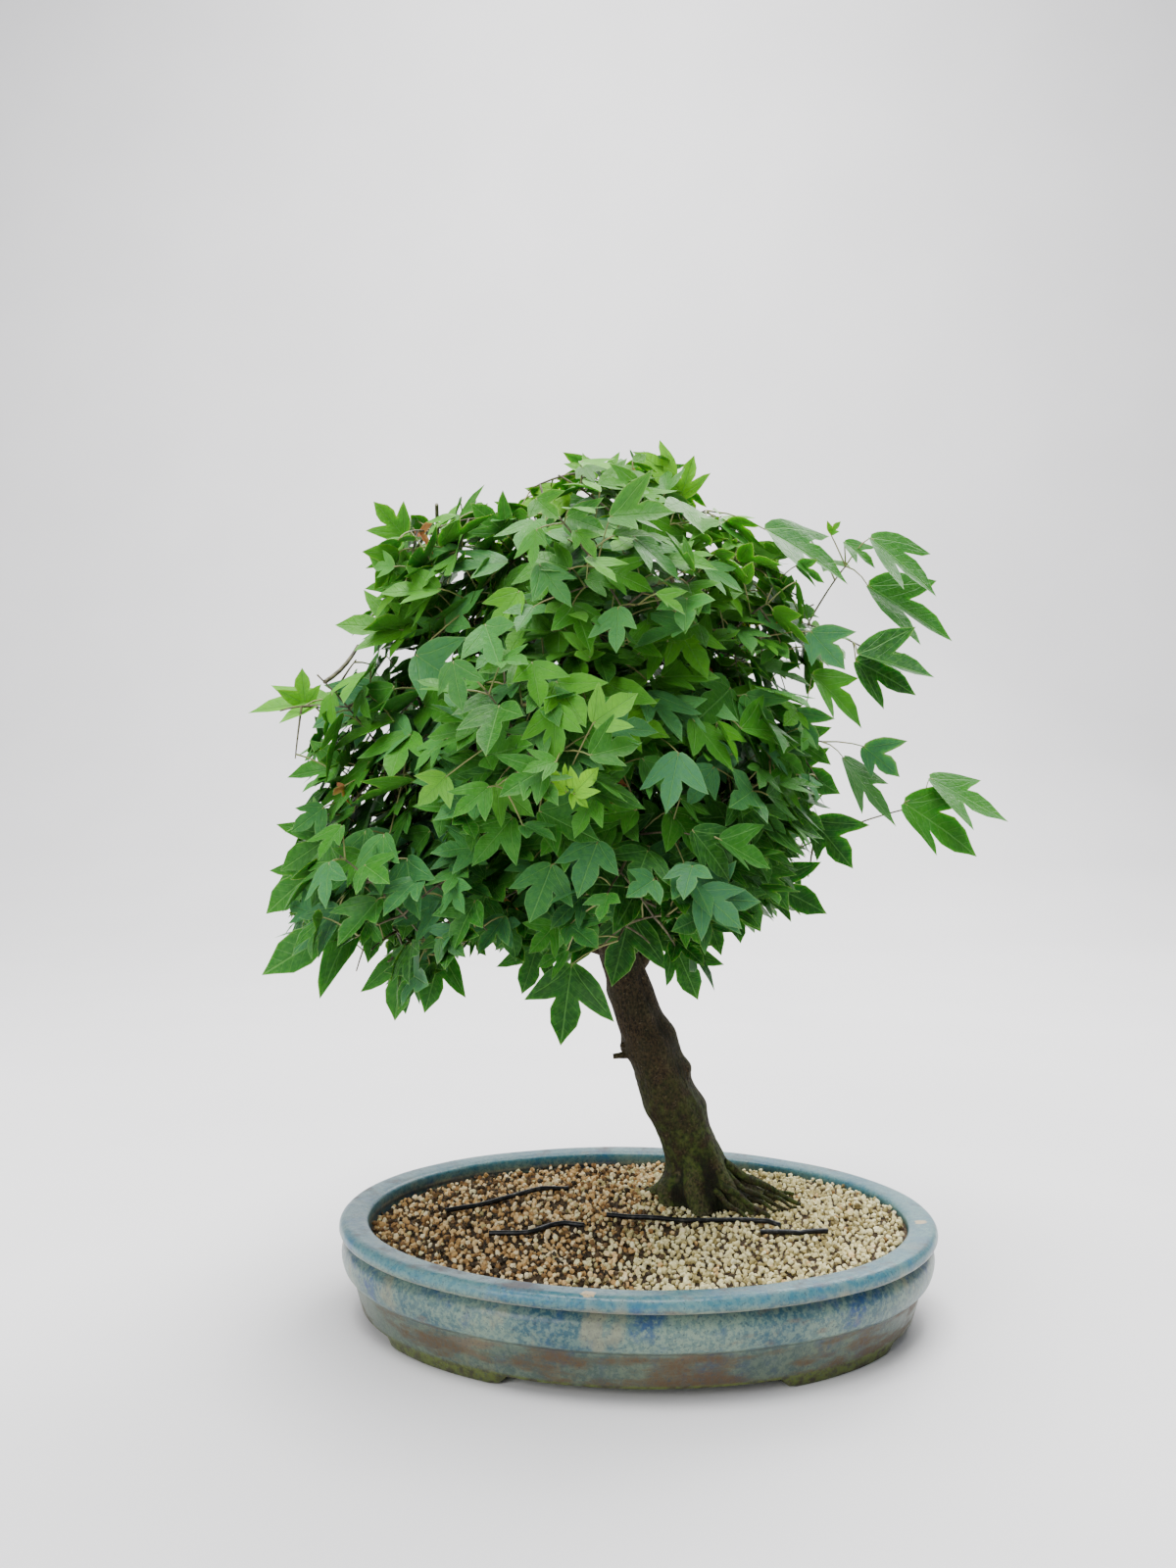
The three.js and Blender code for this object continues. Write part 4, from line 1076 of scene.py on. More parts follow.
CROWN_EDGE = [
    (-214, 379), (-216, 402), (-198, 395), (-179, 410), (-188, 425), (-200, 437), (-164, 447), (-178, 455),
    (-179, 483), (-156, 492), (-175, 514), (-145, 506), (-131, 499), (-118, 517), (-100, 519), (-87, 509),
    (-68, 525), (-60, 531), (-53, 543), (-23, 542), (-8, 552), (16, 549), (33, 546), (27, 522), (45, 509),
    (71, 508), (98, 497), (137, 471), (100, 460), (109, 435), (132, 429), (136, 419), (114, 408), (148, 375),
    (111, 385), (100, 392), (117, 362), (99, 347), (129, 333), (117, 316), (136, 282), (107, 289), (95, 274),
    (123, 253), (94, 252), (69, 231), (48, 246), (39, 194), (17, 226), (7, 250), (-15, 246), (-22, 231),
    (-36, 220), (-50, 167), (-61, 200), (-78, 198), (-88, 224), (-123, 219), (-138, 186), (-158, 178),
    (-167, 223), (-181, 230), (-202, 223), (-241, 209), (-221, 239), (-244, 249), (-240, 277), (-221, 302),
    (-227, 312), (-208, 328), (-231, 340), (-219, 354), (-203, 366),
]
PLACED_LEAVES = [
    (-46, -142, 330, -57, 344, 0.85, 1.05, 0), (-42, -143, 329, -29, 344, 0.9, 1.05, 0),
    (-43, -142, 330, -34, 322, 0.8, 1.0, 0), (92, -20, 367, 118, 348, 0.75, 0.45, 0),
    (90, -15, 347, 127, 331, 0.7, 0.35, 0), (94, -25, 382, 108, 357, 0.85, 0.4, 0.4),
    (69, -40, 336, 94, 314, 0.9, 0.35, 0.3), (72, -50, 359, 97, 341, 0.9, 0.5, 0),
    (59, -60, 389, 76, 364, 0.9, 0.5, 0.2), (93, -10, 321, 117, 307, 0.8, 0.25, 0),
    (60, -60, 307, 73, 281, 0.9, 0.2, 0), (-135, -70, 279, -142, 242, 0.95, 0.3, 0),
    (-120, -80, 285, -110, 250, 0.95, 0.25, 0.2), (-93, -85, 270, -100, 241, 0.95, 0.35, 0),
    (-81, -80, 261, -75, 231, 0.95, 0.2, 0), (-159, -55, 258, -165, 226, 0.9, 0.25, 0),
    (-54, -85, 262, -61, 236, 0.95, 0.2, 0.2), (-177, -50, 275, -201, 254, 0.85, 0.35, 0),
    (-189, -45, 302, -222, 280, 0.8, 0.4, 0), (-22, -95, 282, -17, 252, 0.95, 0.25, 0.3),
    (52, -55, 277, 71, 246, 0.85, 0.2, 0), (69, -40, 289, 89, 258, 0.8, 0.25, 0),
    (36, -60, 262, 46, 233, 0.9, 0.15, 0), (-86, -35, 488, -109, 507, 0.9, 0.5, 0),
    (-6, -25, 495, 16, 511, 0.8, 0.7, 0.3), (-9, -50, 488, -39, 474, 0.8, 0.4, 0.8),
    (-52, -55, 458, -61, 478, 0.85, 0.55, 0.2), (-192, -60, 319, -211, 304, 0.9, 0.35, 0.2),
    (-150, -75, 305, -168, 287, 0.9, 0.3, 0.4), (37, -95, 345, 21, 322, 0.95, 0.35, 0.5),
    (67, -75, 322, 81, 299, 0.9, 0.3, 0), (-8, -48, 257, -19, 212, 0.95, 0.05, 0),
    (4, -30, 262, 22, 226, 0.9, 0.1, 0), (132, 15, 495, 153, 478, 0.35, 0.45, 0),
    (148, 10, 497, 195, 461, 0.38, 0.45, 0), (150, 25, 468, 208, 433, 0.42, 0.4, 0),
    (124, 20, 501, 129, 509, 0.6, 0.6, 0), (134, -20, 418, 182, 404, 0.4, 0.1, 0),
    (134, -15, 414, 174, 394, 0.6, 0.1, 0), (102, -35, 430, 122, 406, 0.9, 0.3, 0.7),
    (104, -30, 404, 140, 373, 0.45, 0.55, 0), (146, 15, 361, 169, 341, 0.85, 0.3, 0.6),
    (131, 5, 353, 165, 309, 0.3, 0.45, 0), (199, 50, 341, 252, 312, 0.4, 0.5, 0),
    (179, 40, 324, 232, 290, 0.5, 0.5, 0), (111, 0, 313, 135, 282, 0.7, 0.1, 0),
    (79, 0, 273, 122, 254, 0.6, 0.2, 0), (65, 0, 487, 88, 460, 0.8, 0.6, 0),
    (78, 5, 501, 138, 470, 0.35, 0.4, 0), (39, -10, 504, 74, 484, 0.25, 0.5, 0),
    (-31, 0, 531, -52, 542, 0.5, 0.7, 0), (19, -5, 531, -8, 548, 0.6, 0.8, 0),
    (23, -5, 518, 31, 545, 0.5, 0.8, 0), (-49, -15, 518, -87, 502, 0.6, 0.85, 0),
    (-198, -20, 385, -249, 379, 0.4, 0.7, 0), (-212, -20, 381, -215, 406, 0.85, 0.7, 0),
    (-164, -45, 391, -204, 367, 0.8, 0.4, 0.7), (-153, -10, 491, -172, 512, 0.7, 0.6, 0),
    (-146, -25, 457, -173, 477, 0.85, 0.55, 0), (-152, -20, 430, -195, 435, 0.6, 0.6, 0),
    (-184, -40, 343, -220, 340, 0.5, 0.5, 0), (-198, -40, 283, -232, 253, 0.9, 0.45, 0),
    (-174, -40, 254, -230, 216, 0.6, 0.35, 0), (-144, -60, 233, -148, 190, 0.95, 0.4, 0),
    (-120, -65, 236, -129, 199, 0.95, 0.3, 0), (-43, -75, 229, -49, 183, 1.0, 0.1, 0),
    (-63, -70, 240, -72, 210, 0.95, 0.15, 0), (18, -60, 239, 33, 206, 0.9, 0.1, 0),
    (-32, -140, 367, -8, 384, 0.95, 0.8, 0.2), (15, -122, 352, 8, 318, 1.0, 0.2, 0.8),
    (-112, -122, 338, -128, 321, 0.95, 0.8, 0.2), (-136, -75, 409, -103, 387, 0.9, 0.5, 0.5),
    (-54, -122, 290, -66, 257, 1.0, 0.3, 0.2), (-85, -122, 334, -63, 316, 0.9, 0.6, 0.1),
]
print("leaves to place one by one:", len(PLACED_LEAVES))

# %% Room for a leaf
leaf_places, stalk_chains, twig_chains = [], [], []
standing = np.zeros((0, 3))


def crowded(p, room):
    """Whether another leaf's middle is within this distance."""
    return len(standing) > 0 and np.min(np.sum((standing - p) ** 2, axis=1)) < room**2


def inside_edge(points):
    """Whether points lie in the crown's outline, as it is seen from the front, by the even-odd rule."""
    points = np.array(points)
    near = -EYE[1] / (points[:, 1] - EYE[1])
    x = (EYE[0] + (points[:, 0] - EYE[0]) * near)[:, None]
    z = (EYE[2] + (points[:, 2] - EYE[2]) * near)[:, None]
    x0, z0 = np.array(CROWN_EDGE, float).T
    x1, z1 = np.roll(x0, -1), np.roll(z0, -1)
    crosses = (z0 > z) != (z1 > z)
    rise = np.where(z1 == z0, 1, z1 - z0)
    return np.sum(crosses & (x < x0 + (z - z0) * (x1 - x0) / rise), axis=1) % 2 == 1


# %% One leaf
def hang_leaf(node, base, length, along, normal, **look):
    """Note a leaf's place and turn, and its stalk from a twig's node."""
    global standing
    middle = base + 0.5 * length * along
    standing = np.vstack([standing, middle])
    turn = Matrix((np.cross(along, normal), along, normal)).transposed().to_euler()
    leaf_places.append(dict(base=base, middle=middle, turn=tuple(turn), length=length, **look))
    lift = node + 0.55 * (base - node) + 0.08 * length * UP
    stalk = points_on((node, lift, base), (0, 0.35, 0.7, 1))
    stalk_chains.append((stalk + [base + 0.05 * length * along], [0.62, 0.5, 0.45, 0.45, 0.3]))


def grow_leaf(index, mass, node, stalk_way, spray, random):
    """Hang one leaf on a twig's node; it is left out where no try finds room."""
    full = LEAF_LENGTH * mass["leaves"] * (LEAF_SHARE[0] + LEAF_SHARE[1] * next(random)) * spray["scale"]
    full *= 1 - NEAR_SMALLER * min(max((-node[1] - NEAR_FROM) / (NEAR_FULL - NEAR_FROM), 0), 1)
    full_stalk = STALK_LENGTH * (STALK_SHARE[0] + STALK_SHARE[1] * next(random))
    turn = (2 * next(random) - 1) * (LEAF_TURN - mass["droop"])
    out = unit((node - trunk_at(node[2])[0]) * (1, 1, 0))
    for attempt in range(TRIES):
        jitter = (np.array([next(random) for _ in range(6)]) - 0.5) * (1 + 0.1 * attempt)
        length = full * (1 - 0.05 * attempt)
        way = unit(stalk_way + 0.4 * jitter[:3])
        base = node + way * full_stalk * (1 - 0.08 * attempt)
        normal = unit(UP + (0.25 + 0.75 * mass["droop"]) * out + 1.2 * jitter[3:])
        along = out + 0.7 * way - 0.4 * mass["droop"] * UP
        along = unit(along - np.dot(along, normal) * normal)
        along = math.cos(turn) * along + math.sin(turn) * np.cross(normal, along)
        across = np.cross(along, normal)
        probes = [base + length * (x * across + y * along) for x, y in LEAF_PROBES]
        if not all(owned(index, p, -0.25) and depths(p)[index] < spray["reach"] for p in probes):
            continue
        if inside_edge(probes).all() and not crowded(base + 0.5 * length * along, LEAF_ROOM * length):
            look = dict(spray=spray["tone"], chance=next(random), set_tone=-1, bloom=-1)
            hang_leaf(node, base, length, along, normal, **look)
            return


# %% Leaves of a twig
def dress_twig(index, mass, curve, shares, spray, random):
    """Pairs of leaves at these shares of a twig, each pair a quarter further round, and one at its tip."""
    spin = next(random) * math.pi
    for share in shares:
        way = unit(bend_between(*curve, share + 0.02) - bend_between(*curve, share - 0.02))
        aside = unit(np.cross(way, UP if abs(way[2]) < 0.9 else np.array([1.0, 0, 0])))
        side = math.cos(spin) * aside + math.sin(spin) * np.cross(way, aside)
        for sign in (-1, 1):
            stalk_way = unit(sign * side + 0.5 * way + 0.15 * UP)
            grow_leaf(index, mass, bend_between(*curve, share), stalk_way, spray, random)
        spin += math.pi / 2
    grow_leaf(index, mass, curve[2], unit(curve[2] - curve[1]), spray, random)


def fine_twigs(index, mass, random):
    """More twigs by the same rule: each ends in one of many even directions and starts at the nearest wood."""
    phase = next(random) * 2 * math.pi
    for i in range(FINE_TWIGS):
        way = even_way(i, FINE_TWIGS, phase) * mass["half"]
        share = FINE_SHARE[0] + FINE_SHARE[1] * next(random)
        while share > LEAST_SHARE and not owned(index, mass["middle"] + share * way, 0.02):
            share -= 0.05
        end = mass["middle"] + share * way
        start = min(mass["wood"], key=lambda p: np.linalg.norm(end - p))
        long = np.linalg.norm(end - start)
        spray = dict(reach=REACH, scale=0.95, tone=next(random))
        if long < SHORTEST_TWIG or share <= LEAST_SHARE:
            continue
        twig = (start, start + 0.55 * (end - start) + 0.1 * long * UP, end)
        points = points_on(twig, np.linspace(0, 1, 5))
        twig_chains.append((points, np.linspace(0.85, 0.45, 5)))
        mass["wood"].append(points[3])
        pairs = (0.5, 0.92) if long < LONG_TWIG else (0.4, 0.68, 0.95)
        dress_twig(index, mass, twig, pairs, spray, random)


# %% Leaves that are placed one by one
# A placed leaf's face leans aside by chance, and its stalk comes from the shoot's point nearest this far off.
SIDE_LEAN, STALK_REACH = 0.3, 14
chance = seeded(PLACED_SEED)
shoot_points = [
    p for mass in masses for shoot in mass["shoots"] for p in points_on(shoot["curve"], np.linspace(0.3, 1, 8))
]
for bx, by, bz, tx, tz, facing, tone, bloom in PLACED_LEAVES:
    base = np.array([bx, by, bz], float)
    blade = np.array([tx, by - 6, tz]) - base
    along = unit(blade)
    normal = (1 - facing) * UP - facing * np.array([0, 1, 0])
    normal = normal + SIDE_LEAN * (next(chance) - 0.5) * np.array([1, 0, 0])
    normal = unit(normal - np.dot(normal, along) * along)
    far_off = [np.linalg.norm(p - base) for p in shoot_points]
    node = shoot_points[int(np.argmin(np.abs(np.array(far_off) - STALK_REACH)))]
    look = dict(spray=0.5, chance=next(chance), set_tone=tone, bloom=bloom)
    hang_leaf(node, base, np.linalg.norm(blade), along, normal, **look)
placed = len(leaf_places)
print("leaves placed one by one:", placed)

# %% Leaves and twigs of every mass
for index, mass in enumerate(masses):
    random = seeded(LEAF_SEED + SEED + index)
    twig_chains.append((points_on(mass["stem"], np.linspace(0, 1, 6)), np.linspace(2.6, 2.0, 6)))
    for shoot in mass["shoots"]:
        curve, thick = shoot["curve"], shoot["radius"] * 0.9
        shares = np.linspace(0, 1, 9)
        twig_chains.append((points_on(curve, shares), thick + (0.55 - thick) * shares))
        far = depths(curve[2])[index]
        spray = dict(reach=far + 0.6 if far > 1 else REACH, scale=1.0, tone=next(random))
        pairs = max(2, int(np.linalg.norm(curve[2] - curve[0]) / 18))
        shares = (0.3, 0.5, 0.7) if shoot["long"] else np.linspace(0.4, 0.93, pairs)
        dress_twig(index, mass, curve, shares, spray, random)
    fine_twigs(index, mass, random)
for end in PRUNED_ENDS:
    below = [p for p in shoot_points if p[2] < end[2] - 25]
    start = min(below, key=lambda p: np.linalg.norm(p - end))
    bend = start + (end - start) * (0.6, 0.6, 0.35)
    points = points_on((start, bend, np.array(end, float)), np.linspace(0, 1, 6))
    twig_chains.append((points, np.linspace(1.4, 1.1, 6)))
print("leaves by the rule:", len(leaf_places) - placed, "twigs:", len(twig_chains))

# %% [markdown]
# ## Putting the leaves on
# The places above are only points with a turn, a length and a pattern number. A Geometry Nodes tree puts a
# leaf pattern on each point, which keeps the script short and the memory small until the last step, where
# the instances become real faces. Leaves are painted lighter towards the top and the outside of the crown and
# darker low and inside it, as painted light and shade, the top ones with a painted glow of light through
# them, and the leaves of one twig are alike. Twigs and leaf stalks are thin tubes with plain speckled
# finishes.

# %% Geometry Nodes for leaves
scatter, leaf_in, leaf_out = new_geometry_tree("Leaves on points", Patterns=("Collection", None))
turn = named(scatter, "turn", "FLOAT_VECTOR")
which = named(scatter, "pattern", "INT")
size = named(scatter, "length")
put = put_patterns(scatter, leaf_in["Geometry"], leaf_in["Patterns"], turn, size, which)
finish_tree(scatter, put, leaf_in, leaf_out)
print("tree:", scatter.tree.name)

# %% Leaves
DRY_SPOTS = [(-76, -80, 264), (-28, -95, 352), (-20, -95, 344), (22, -80, 280), (30, -70, 420)]
DRY_CHANCE, DRY_SIZE = 0.992, 0.6
FRESH_SPOT, FRESH_ROOM, FRESHEST = (-46, -90, 340), 22, 0.95
CROWN_FOOT, CROWN_TALL = 190, 340
# Painted light and shade: leaves are darker low in the crown and lighter high up.
PAINTED_LIGHT_BY_HEIGHT = (0, 0.18, 0.4, 0.65, 1), (-0.3, -0.05, 0.36, 0.5, 0.38)


def leaves_object(name, places):
    """Points with a turn, a length and a look, made into leaves."""
    base, middles, spray, chance, set_tone, set_bloom_and_sheen, length, turn = (
        np.array([place[key] for place in places])
        for key in ("base", "middle", "spray", "chance", "set_tone", "bloom", "length", "turn")
    )
    dry = chance > DRY_CHANCE
    for spot in DRY_SPOTS:
        dry[np.argmin(np.linalg.norm(middles - spot, axis=1))] = True
    # Painted light and shade: leaves are lighter high up and towards the outside of the crown, darker low and
    # inside it.
    light = np.clip((middles[:, 2] - CROWN_FOOT) / CROWN_TALL, 0, 1)
    outer_painted_light = np.array([np.clip((depths(p).min() - 0.4) / 0.5, 0, 1) for p in middles])
    tone = np.interp(light, *PAINTED_LIGHT_BY_HEIGHT) + 0.2 * outer_painted_light + 0.5 * (spray - 0.45)
    tone = np.where(set_tone >= 0, set_tone, tone + 0.36 * (chance * 7 % 1 - 0.5))
    # Painted glow of light through the leaves high and outside in the crown; new growth near FRESH_SPOT and
    # bright placed leaves get the same lime green.
    fresh = np.clip(0.28 * (light - 0.55) * (spray + 0.3) + 0.16 * (chance * 13 % 1) * outer_painted_light * light, 0, 0.6)
    fresh = np.where(np.linalg.norm(middles - FRESH_SPOT, axis=1) < FRESH_ROOM, FRESHEST, fresh)
    fresh = np.where(set_tone >= 0, np.clip(1.6 * (set_tone - 0.5), 0, FRESHEST), fresh)
    # Bluish bloom with a painted sheen of the sky, weaker higher up.
    bloom = np.where(chance * 5 % 1 > 0.56, np.clip(1.2 - light, 0.3, 0.75) * (chance * 31 % 1), 0)
    bloom = np.where(set_bloom_and_sheen >= 0, set_bloom_and_sheen, bloom)
    pattern = (chance * 997 % 1 * (PATTERNS - CURLED)).astype(int)
    obj = add_mesh(name, base, [])
    set_values(obj, length=length * MM * np.where(dry, DRY_SIZE, 1), tone=np.clip(tone, 0, 1))
    set_values(obj, fresh=fresh, bloom=bloom, dry=dry.astype(float))
    set_values(obj, "INT", pattern=np.where(dry, PATTERNS - 1 - (chance > 0.5), pattern))
    set_values(obj, "FLOAT_VECTOR", turn=turn)
    return run_tree(obj, scatter.tree, Patterns=leaf_patterns, Material=leaf.material)


foliage_nodes = [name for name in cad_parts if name.startswith("foliage_")]
half = len(leaf_places) // 2
lower_leaves = leaves_object("maple_leaves_low", leaf_places[:half])
upper_leaves = leaves_object("maple_leaves_high", leaf_places[half:])
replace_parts(lower_leaves, *foliage_nodes)
for piece in (lower_leaves, upper_leaves):
    count_faces(piece)
    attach(piece, "root")

# %% Twigs and leaf stalks
twig_look = speckled(
    "young_twig", 0.6, (260, 0.4, 0.62), (0.055, 0.045, 0.022), (0.13, 0.12, 0.055), (0.2, 0.6)
)
stalk_look = speckled("leaf_stalk", 0.5, (90, 0.35, 0.65), (0.16, 0.21, 0.05), (0.27, 0.25, 0.09), (0.1, 0.5))
twigs = make_tubes("maple_twigs", twig_chains, twig_look, 6, 0.3, 300.0)
stalks = make_tubes("leaf_stalks", stalk_chains, stalk_look, 4, 0.0, 100.0)
for piece in (twigs, stalks):
    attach(piece, "root")

# %% [markdown]
# ## Gravel
# The pot is topped with loose granules about 4.5 mm across: brown fired clay with some dark lava on the
# left, pale pumice on the right. Each real granule is broken, not round, so the patterns are hulls of a few
# random points. Geometry Nodes scatter them over two layers that follow the CAD model's gravel bed, and
# give each a size, a turn and a colour. Where the two kinds meet, each granule takes one of them by chance,
# along a line that noise makes ragged. A dark surface under the layers closes the gaps between granules.

# %% Granule material
stones = Finish("granules", 0.95, Specular_IOR_Level=0.25)
tone = stones.attribute("tone")
clay = stones.ramp(
    tone,
    (0.0, (0.016, 0.012, 0.009)), (0.2, (0.07, 0.038, 0.016)), (0.36, (0.32, 0.165, 0.055)),
    (0.54, (0.64, 0.39, 0.145)), (0.76, (0.9, 0.66, 0.33)), (1.0, (0.97, 0.86, 0.55)),
)
pumice = stones.ramp(
    tone,
    (0.0, (0.12, 0.085, 0.03)), (0.1, (0.42, 0.34, 0.13)), (0.38, (0.8, 0.7, 0.34)), (1.0, (0.99, 0.93, 0.56)),
)
stone = stones.mix(stones.attribute("pale"), clay, pumice)
stone = stones.tints(stone, (stones.patches(900, 0.42, 0.6, 3), 0.1, (0.7, 0.6, 0.4)))
stones.lay_on(stone, stones.noise(1400, 3), 0.6, 0.8)

# %% Granule patterns
GRANULE_SHAPES, GRANULE_CORNERS, GRANULE_HALF = 6, 15, (1.1, 0.95, 0.8)
granule_patterns = bpy.data.collections.new("granule_patterns")
for number in range(GRANULE_SHAPES):
    rng = np.random.default_rng(70 + number)
    hull = bmesh.new()
    for p in rng.normal(size=(GRANULE_CORNERS, 3)):
        hull.verts.new(p / np.linalg.norm(p) * rng.uniform(0.85, 1.1) * GRANULE_HALF)
    unused = bmesh.ops.convex_hull(hull, input=hull.verts)["geom_unused"]
    bmesh.ops.delete(hull, geom=[v for v in unused if isinstance(v, bmesh.types.BMVert)], context="VERTS")
    bmesh.ops.recalc_face_normals(hull, faces=hull.faces)
    mesh = bpy.data.meshes.new(f"granule_{number}")
    hull.to_mesh(mesh)
    hull.free()
    granule_patterns.objects.link(bpy.data.objects.new(mesh.name, mesh))
print("a granule has about", len(mesh.polygons), "faces")

# %% Surface of the gravel
WALL = 18.8
BED_RINGS, BED_STEPS = 30, 120
bed_tree = BVHTree.FromObject(bpy.data.objects["gravel_bed"], bpy.context.evaluated_depsgraph_get())


def gravel_height(x, y):
    """The height of the CAD bed's surface under a point."""
    spot, _, _, _ = bed_tree.ray_cast(Vector((x * MM, y * MM, 0.1)), Vector((0, 0, -1)))
    return spot.z / MM


def gravel_surface(inset, drop):
    """Rings over the gravel's surface, drawn in from the wall by inset and lowered by drop."""
    points = []
    for i in range(BED_RINGS):
        share = 1 - i / BED_RINGS
        for angle in angles_round(BED_STEPS):
            x, y, _ = oval_point(WALL + inset, angle, 0)
            points.append((x * share, y * share, gravel_height(0.99 * x * share, 0.99 * y * share) - drop))
    middle = list(range((BED_RINGS - 1) * BED_STEPS, BED_RINGS * BED_STEPS))
    return points, grid_faces(BED_RINGS, BED_STEPS) + [middle]


print("gravel height at the middle:", round(gravel_height(0, 0), 1))

# %% Geometry Nodes for granules
# In metres to the right, the share of pale granules rises from FEWEST_PALE to MOST_PALE over this stretch.
PALE_FROM, PALE_FULL, FEWEST_PALE, MOST_PALE = 0.01, 0.085, 0.03, 0.95
FULL_TURN = (6.28, 6.28, 6.28)
granules, granule_in, granule_out = new_geometry_tree(
    "Granules on a surface",
    Patterns=("Collection", None), Spacing=("Float", 3.2 * MM), Smallest=("Float", 1.15 * MM),
    Largest=("Float", 2.25 * MM), Seed=("Int", 3),
)
spots = granules.node(
    "GeometryNodeDistributePointsOnFaces",
    {
        "Mesh": granule_in["Geometry"], "Distance Min": granule_in["Spacing"],
        "Density Max": 90000.0, "Seed": granule_in["Seed"],
    },
    distribute_method="POISSON",
)


def random_value(kind, low, high, offset):
    """A random number or vector for each point; offset makes one differ from the next."""
    seed = granules.math("ADD", granule_in["Seed"], float(offset))
    node = granules.node("FunctionNodeRandomValue", {"Seed": seed}, data_type=kind).node
    for name, value in (("Min", low), ("Max", high)):
        socket = next(s for s in node.inputs if s.enabled and s.name == name)
        if isinstance(value, bpy.types.NodeSocket):
            granules.tree.links.new(value, socket)
        else:
            socket.default_value = value
    return next(s for s in node.outputs if s.enabled)


spin = random_value("FLOAT_VECTOR", (0, 0, 0), FULL_TURN, 1)
size = random_value("FLOAT", granule_in["Smallest"], granule_in["Largest"], 2)
tone = random_value("FLOAT", 0.0, 1.0, 3)
chance = random_value("FLOAT", 0.0, 1.0, 4)
offset = granules.node("ShaderNodeCombineXYZ", {2: random_value("FLOAT", -1.1 * MM, 0.9 * MM, 5)})
points = granules.node("GeometryNodeSetPosition", {"Geometry": spots, "Offset": offset})
place = granules.node("ShaderNodeSeparateXYZ", {0: granules.node("GeometryNodeInputPosition")}).node.outputs
across = granules.scaled(place["Y"], -0.2, place["X"])
across = granules.scaled(granules.noise(22.0, 2.0), 0.09, across)
inputs = {0: across, 1: PALE_FROM, 2: PALE_FULL, 3: FEWEST_PALE, 4: MOST_PALE}
pale_share = granules.node("ShaderNodeMapRange", inputs)
for name, value in (("tone", tone), ("pale", granules.math("LESS_THAN", chance, pale_share))):
    inputs = {"Geometry": points, "Name": name, "Value": value}
    points = granules.node("GeometryNodeStoreNamedAttribute", inputs, data_type="FLOAT", domain="POINT")
put = put_patterns(granules, points, granule_in["Patterns"], spin, size)
finish_tree(granules, put, granule_in, granule_out)
print("tree:", granules.tree.name)

# %% Gravel
# A layer's row is how far it is drawn in, how far it lies below the surface, its spacing and its seed.
LAYERS = [(2.0, 1.2, 2.85, 3), (2.2, 2.3, 3.5, 11)]
UNDER_DROP = 3.6
# The surface under the granules is a sheet of painted shade in the gaps between them.
bed = add_mesh("gravel_under", *gravel_surface(0, UNDER_DROP))
bed.data.materials.append(
    speckled("gravel_shadow", 1.0, (400, 0.4, 0.6), (0.028, 0.018, 0.01), (0.095, 0.06, 0.03))
)
layers = []
for number, (inset, drop, spacing, seed) in enumerate(LAYERS):
    layer = add_mesh(f"granules_{number + 1}", *gravel_surface(inset, drop))
    sizes = dict(Spacing=spacing * MM, Seed=seed)
    run_tree(layer, granules.tree, Patterns=granule_patterns, Material=stones.material, **sizes)
    count_faces(layer)
    layers.append(layer)
for piece in (bed, *layers):
    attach(piece, "root")
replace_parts(layers[0], "gravel_bed")

# %% [markdown]
# ## Tie wires
# Short lengths of black wire hold the root ball down and show on the gravel. They are stiff, so each is a
# tube along a few points that lies on the granules.

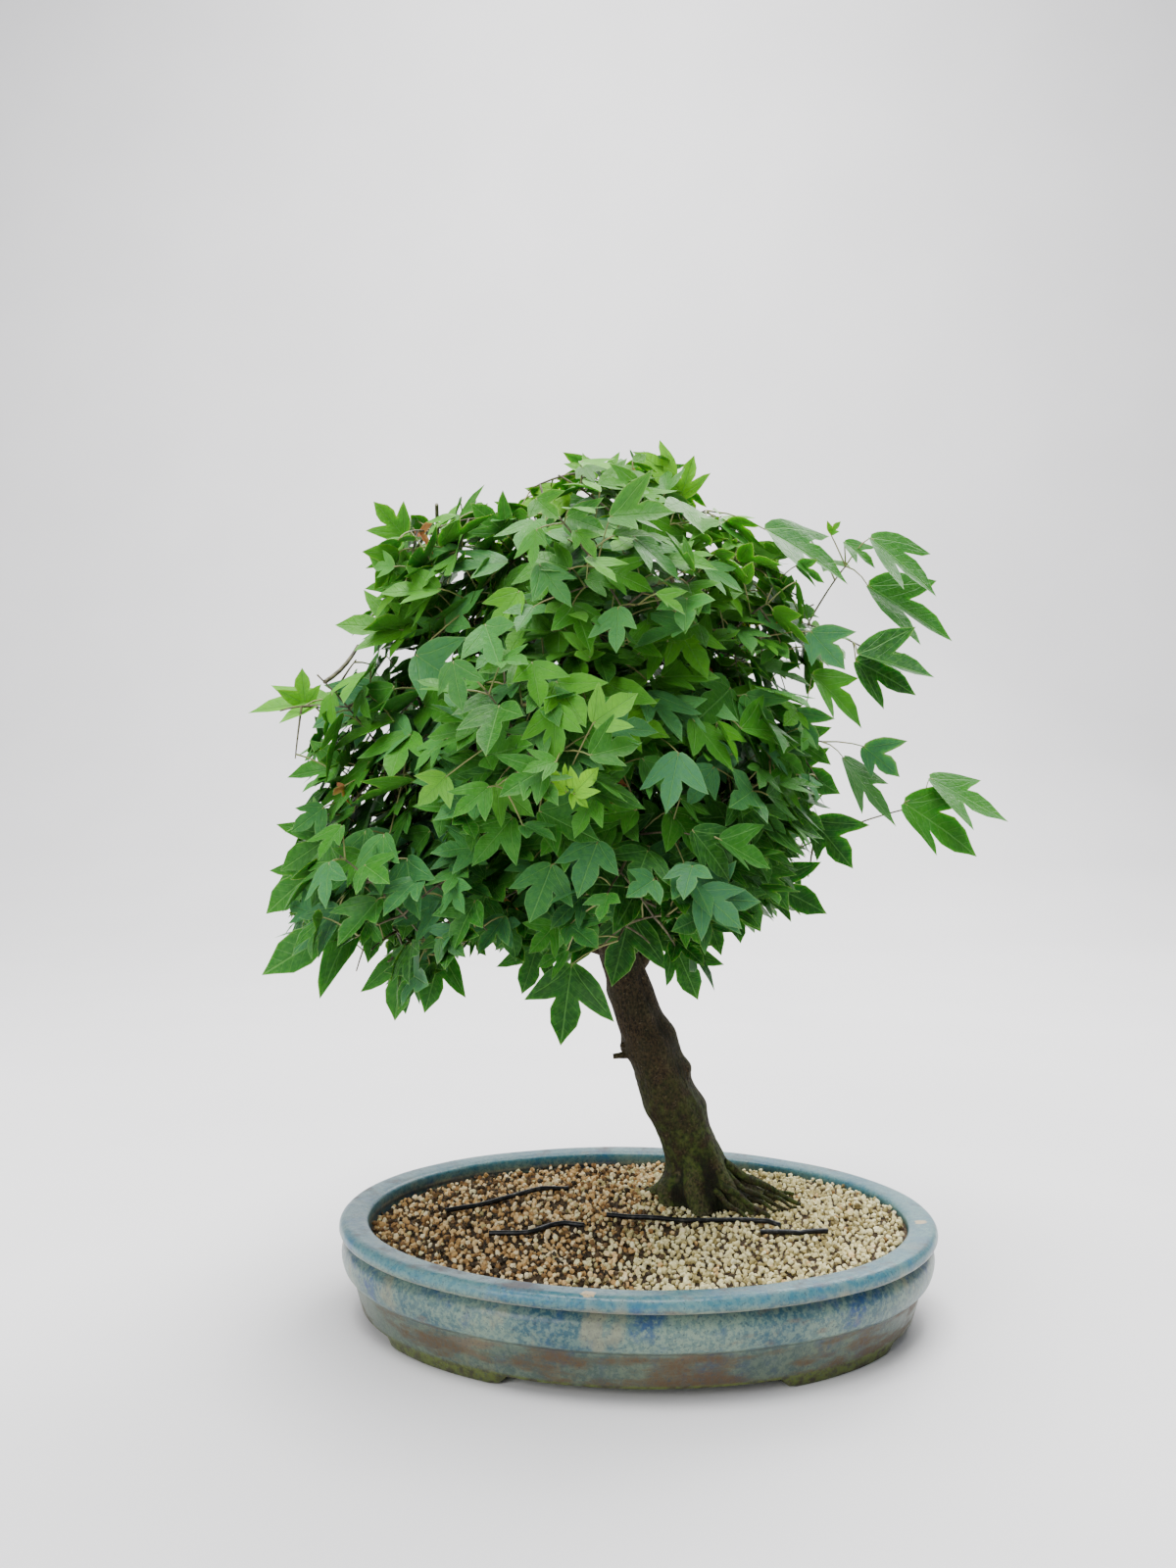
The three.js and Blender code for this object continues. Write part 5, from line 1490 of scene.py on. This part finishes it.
# %% Wires
WIRES = [
    [(-125, 14), (-100, 24), (-70, 42), (-45, 47)],
    [(-93, -30), (-68, -34), (-52, -24), (-34, -26)],
    [(-20, -13), (28, -20), (72, -20), (88, -29)],
    [(74, -38), (96, -37), (116, -36)],
]
WIRE_RADIUS, WIRE_LIFT = 1.6, 1.2
wire_look = speckled(
    "black_wire", 0.38, (240, 0.5, 0.7), (0.012, 0.013, 0.015), (0.06, 0.06, 0.06), (0.1, 0.4), Metallic=0.6
)
chains = []
for places in WIRES:
    rows = smooth_rows(places, 8)
    points = [(x, y, max(gravel_height(x + aside, y) for aside in (-4, 0, 4)) + WIRE_LIFT) for x, y in rows]
    chains.append((points, [WIRE_RADIUS] * len(rows)))
wires = make_tubes("tie_wires", chains, wire_look, 12, 0.15, 60.0)
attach(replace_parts(wires, *[f"tie_wire_{n + 1}" for n in range(4)]), "root")

# %% [markdown]
# ## Studio
# The plant stands on a plain pale floor that curves up into a wall behind it. Large soft lights imitate an
# overcast sky: a broad one above, a weaker one from the front left, one behind that lights the crown's edge,
# one that evens out the wall, and a dim world.

# %% Floor and lights
# The floor's line and the lights are in metres; a light's row is its name, place, aim, size and power.
FLOOR_LINE = [(-3.0, 0), (1.2, 0), (1.7, 0.03), (2.1, 0.16), (2.4, 0.42), (2.55, 0.8), (2.6, 1.3), (2.6, 4.0)]
FLOOR_HALF = 4.0
LIGHTS = [
    ("sky_above", (-0.2, -0.3, 2.4), (0, 0, 0.3), 1.5, 96),
    ("front_left", (-1.6, -2.1, 1.3), (0, 0, 0.3), 1.4, 42),
    ("back_rim", (0.9, 1.4, 1.8), (0, 0, 0.35), 1.2, 40),
    ("wall_wash", (0, 0.9, 2.6), (0, 2.6, 0.7), 1.6, 78),
]
floor_rows = [(x / MM, y / MM, z / MM) for y, z in FLOOR_LINE for x in (-FLOOR_HALF, FLOOR_HALF)]
backdrop = add_mesh("studio_floor", floor_rows, grid_faces(len(FLOOR_LINE), 2, wrap=False))
floor_look = speckled("pale_floor", 0.8, (3, 0.2, 0.8, 2), (0.8, 0.79, 0.795), (0.84, 0.83, 0.835))
backdrop.data.materials.append(floor_look)
for name, place, aim, size, power in LIGHTS:
    light = bpy.data.objects.new(name, bpy.data.lights.new(name, "AREA"))
    light.data.size = size
    light.data.energy = power
    light.location = place
    light.rotation_euler = (Vector(aim) - Vector(place)).to_track_quat("-Z", "Y").to_euler()
    bpy.context.scene.collection.objects.link(light)
world = bpy.data.worlds.new("soft_world")
world.use_nodes = True
sky = world.node_tree.nodes["Background"].inputs
sky["Color"].default_value = (0.9, 0.93, 1.0, 1)
sky["Strength"].default_value = 0.42
bpy.context.scene.world = world
